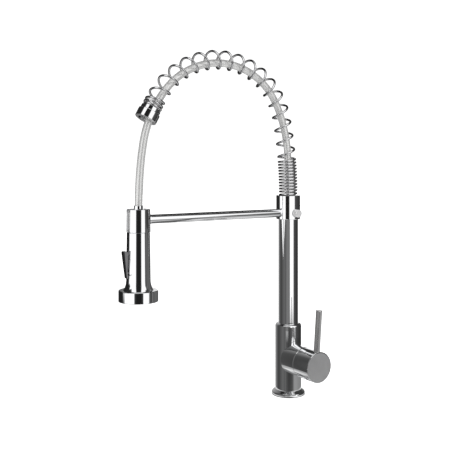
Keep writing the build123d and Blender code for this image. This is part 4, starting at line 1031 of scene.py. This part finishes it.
def at_bearing(degrees, radius, z):
    """A point at a bearing and a distance from the column, at a height."""
    angle = math.radians(degrees)
    return in_studio(radius * math.cos(angle), radius * math.sin(angle), z)


def bent_rows(bearings, radius, bottom, top):
    """The lower and upper row of points of a card bent round the column."""
    return [[at_bearing(degrees, radius, z) for degrees in bearings] for z in (bottom, top)]


black = ((0.0, 0.02), (1.0, 0.02))
screen_radius = 0.15

# the black card that the camera looks past
lens_ends = ((0.598, -0.378), (0.548, 0.100))
studio_card("lens_card", *([in_studio(*end, z) for end in lens_ends] for z in (0.02, 0.80)), (
    (0.0, white), (0.03, white), (0.10, 0.05), (0.3, 0.012), (0.7, 0.012), (0.90, 0.05), (0.97, white),
    (1.0, white),
))

# the dark wall at the right, whose top slopes
wall_radius, wall_start, wall_slope = 1.07, 57, 0.002
wall_bearings = range(wall_start, 154, 4)
wall_tops = [at_bearing(b, wall_radius, 0.36 + wall_slope * (b - wall_start)) for b in wall_bearings]
studio_card("wall_card", [at_bearing(b, wall_radius, -0.16) for b in wall_bearings], wall_tops, (
    (0.0, white), (0.012, 0.6), (0.028, 0.25), (0.045, 0.10), (0.2, 0.055), (0.6, 0.03), (0.85, 0.05),
    (1.0, 0.12),
))

# the black card high at the left, for the tops of the spring's turns
wing_rows = bent_rows(range(-104, -55, 4), 0.6, 0.37, 1.2)
studio_card("wing_card", *wing_rows, ((0.0, 0.02), (0.85, 0.02), (1.0, 0.2)))

# the black wall behind the arch
studio_card("arch_wall", *([(-0.15, 0.08, z), (-0.15, -0.24, z)] for z in (0.36, 0.80)), black)

# the grey screen round the column's left and front: a notch in its top lets the white through, and
# its foot is raised in front of the body
notch_depth, notch_middle, notch_reach = 0.069, -62, 21
side_bearings = [14 - 2.1 * k for k in range(91)]
side_feet = [at_bearing(b, screen_radius, 0.068 if b > -24 else -0.05) for b in side_bearings]
side_tops = [
    at_bearing(b, screen_radius, 0.2514 - max(0.0, notch_depth * (1 - abs(b - notch_middle) / notch_reach)))
    for b in side_bearings
]
studio_card("side_card", side_feet, side_tops, (
    (0.0, 0.16), (0.18, 0.17), (0.24, 0.09), (0.34, 0.12), (0.45, 0.08), (0.55, 0.05), (0.63, 0.065),
    (0.71, 0.15), (0.87, 0.33), (1.0, 0.4),
))

# the black card beside the spring's tight turns
studio_card("spring_card", *bent_rows(range(-178, -93, 7), screen_radius, 0.2525, 0.55), black)

# the low dark card in front of the body, from its middle to the right
studio_card("fore_card", *bent_rows(range(-4, 47, 5), screen_radius, 0.04, 0.079), (
    (0.0, 0.045), (0.35, 0.06), (0.55, 0.09), (0.75, 0.136), (0.92, 0.153), (1.0, 0.08),
))

# a ring on the deck round the flange, light and dark by turns, for the flange's rim
deck_bearings = range(-180, 181, 5)
studio_card("deck_card", *([at_bearing(b, r, 0.0003) for b in deck_bearings] for r in (0.0272, 0.046)), (
    (0.0, 0.5), (0.2, 0.7), (0.38, 0.55), (0.46, 0.15), (0.52, 0.10), (0.56, 0.8), (0.63, 0.7),
    (0.7, 0.35), (0.8, 0.6), (1.0, 0.5),
))

floor_mesh = bpy.data.meshes.new("floor")
floor_size = 6.0
floor_corners = [(x * floor_size, y * floor_size, 0) for x, y in ((-1, -1), (1, -1), (1, 1), (-1, 1))]
floor_mesh.from_pydata(floor_corners, [], [(0, 1, 2, 3)])
sweep_white, tree, shader = new_material("sweep", (0.9, 0.9, 0.9), 0.9)
set_values(shader, {"Emission Color": (1, 1, 1, 1), "Specular IOR Level": 0.0})
eye = add_node(tree, "ShaderNodeLightPath")
glow = add_node(tree, "ShaderNodeMapRange", {"To Min": 0.25, "To Max": 0.9})
join(
    tree,
    (eye.outputs["Is Camera Ray"], glow.inputs["Value"]),
    (glow.outputs["Result"], shader.inputs["Emission Strength"]),
)
floor = add_piece("floor", floor_mesh, sweep_white)
floor.visible_glossy = False
bpy.context.scene.view_settings.view_transform = "Standard"
bpy.context.scene.view_settings.look = "None"
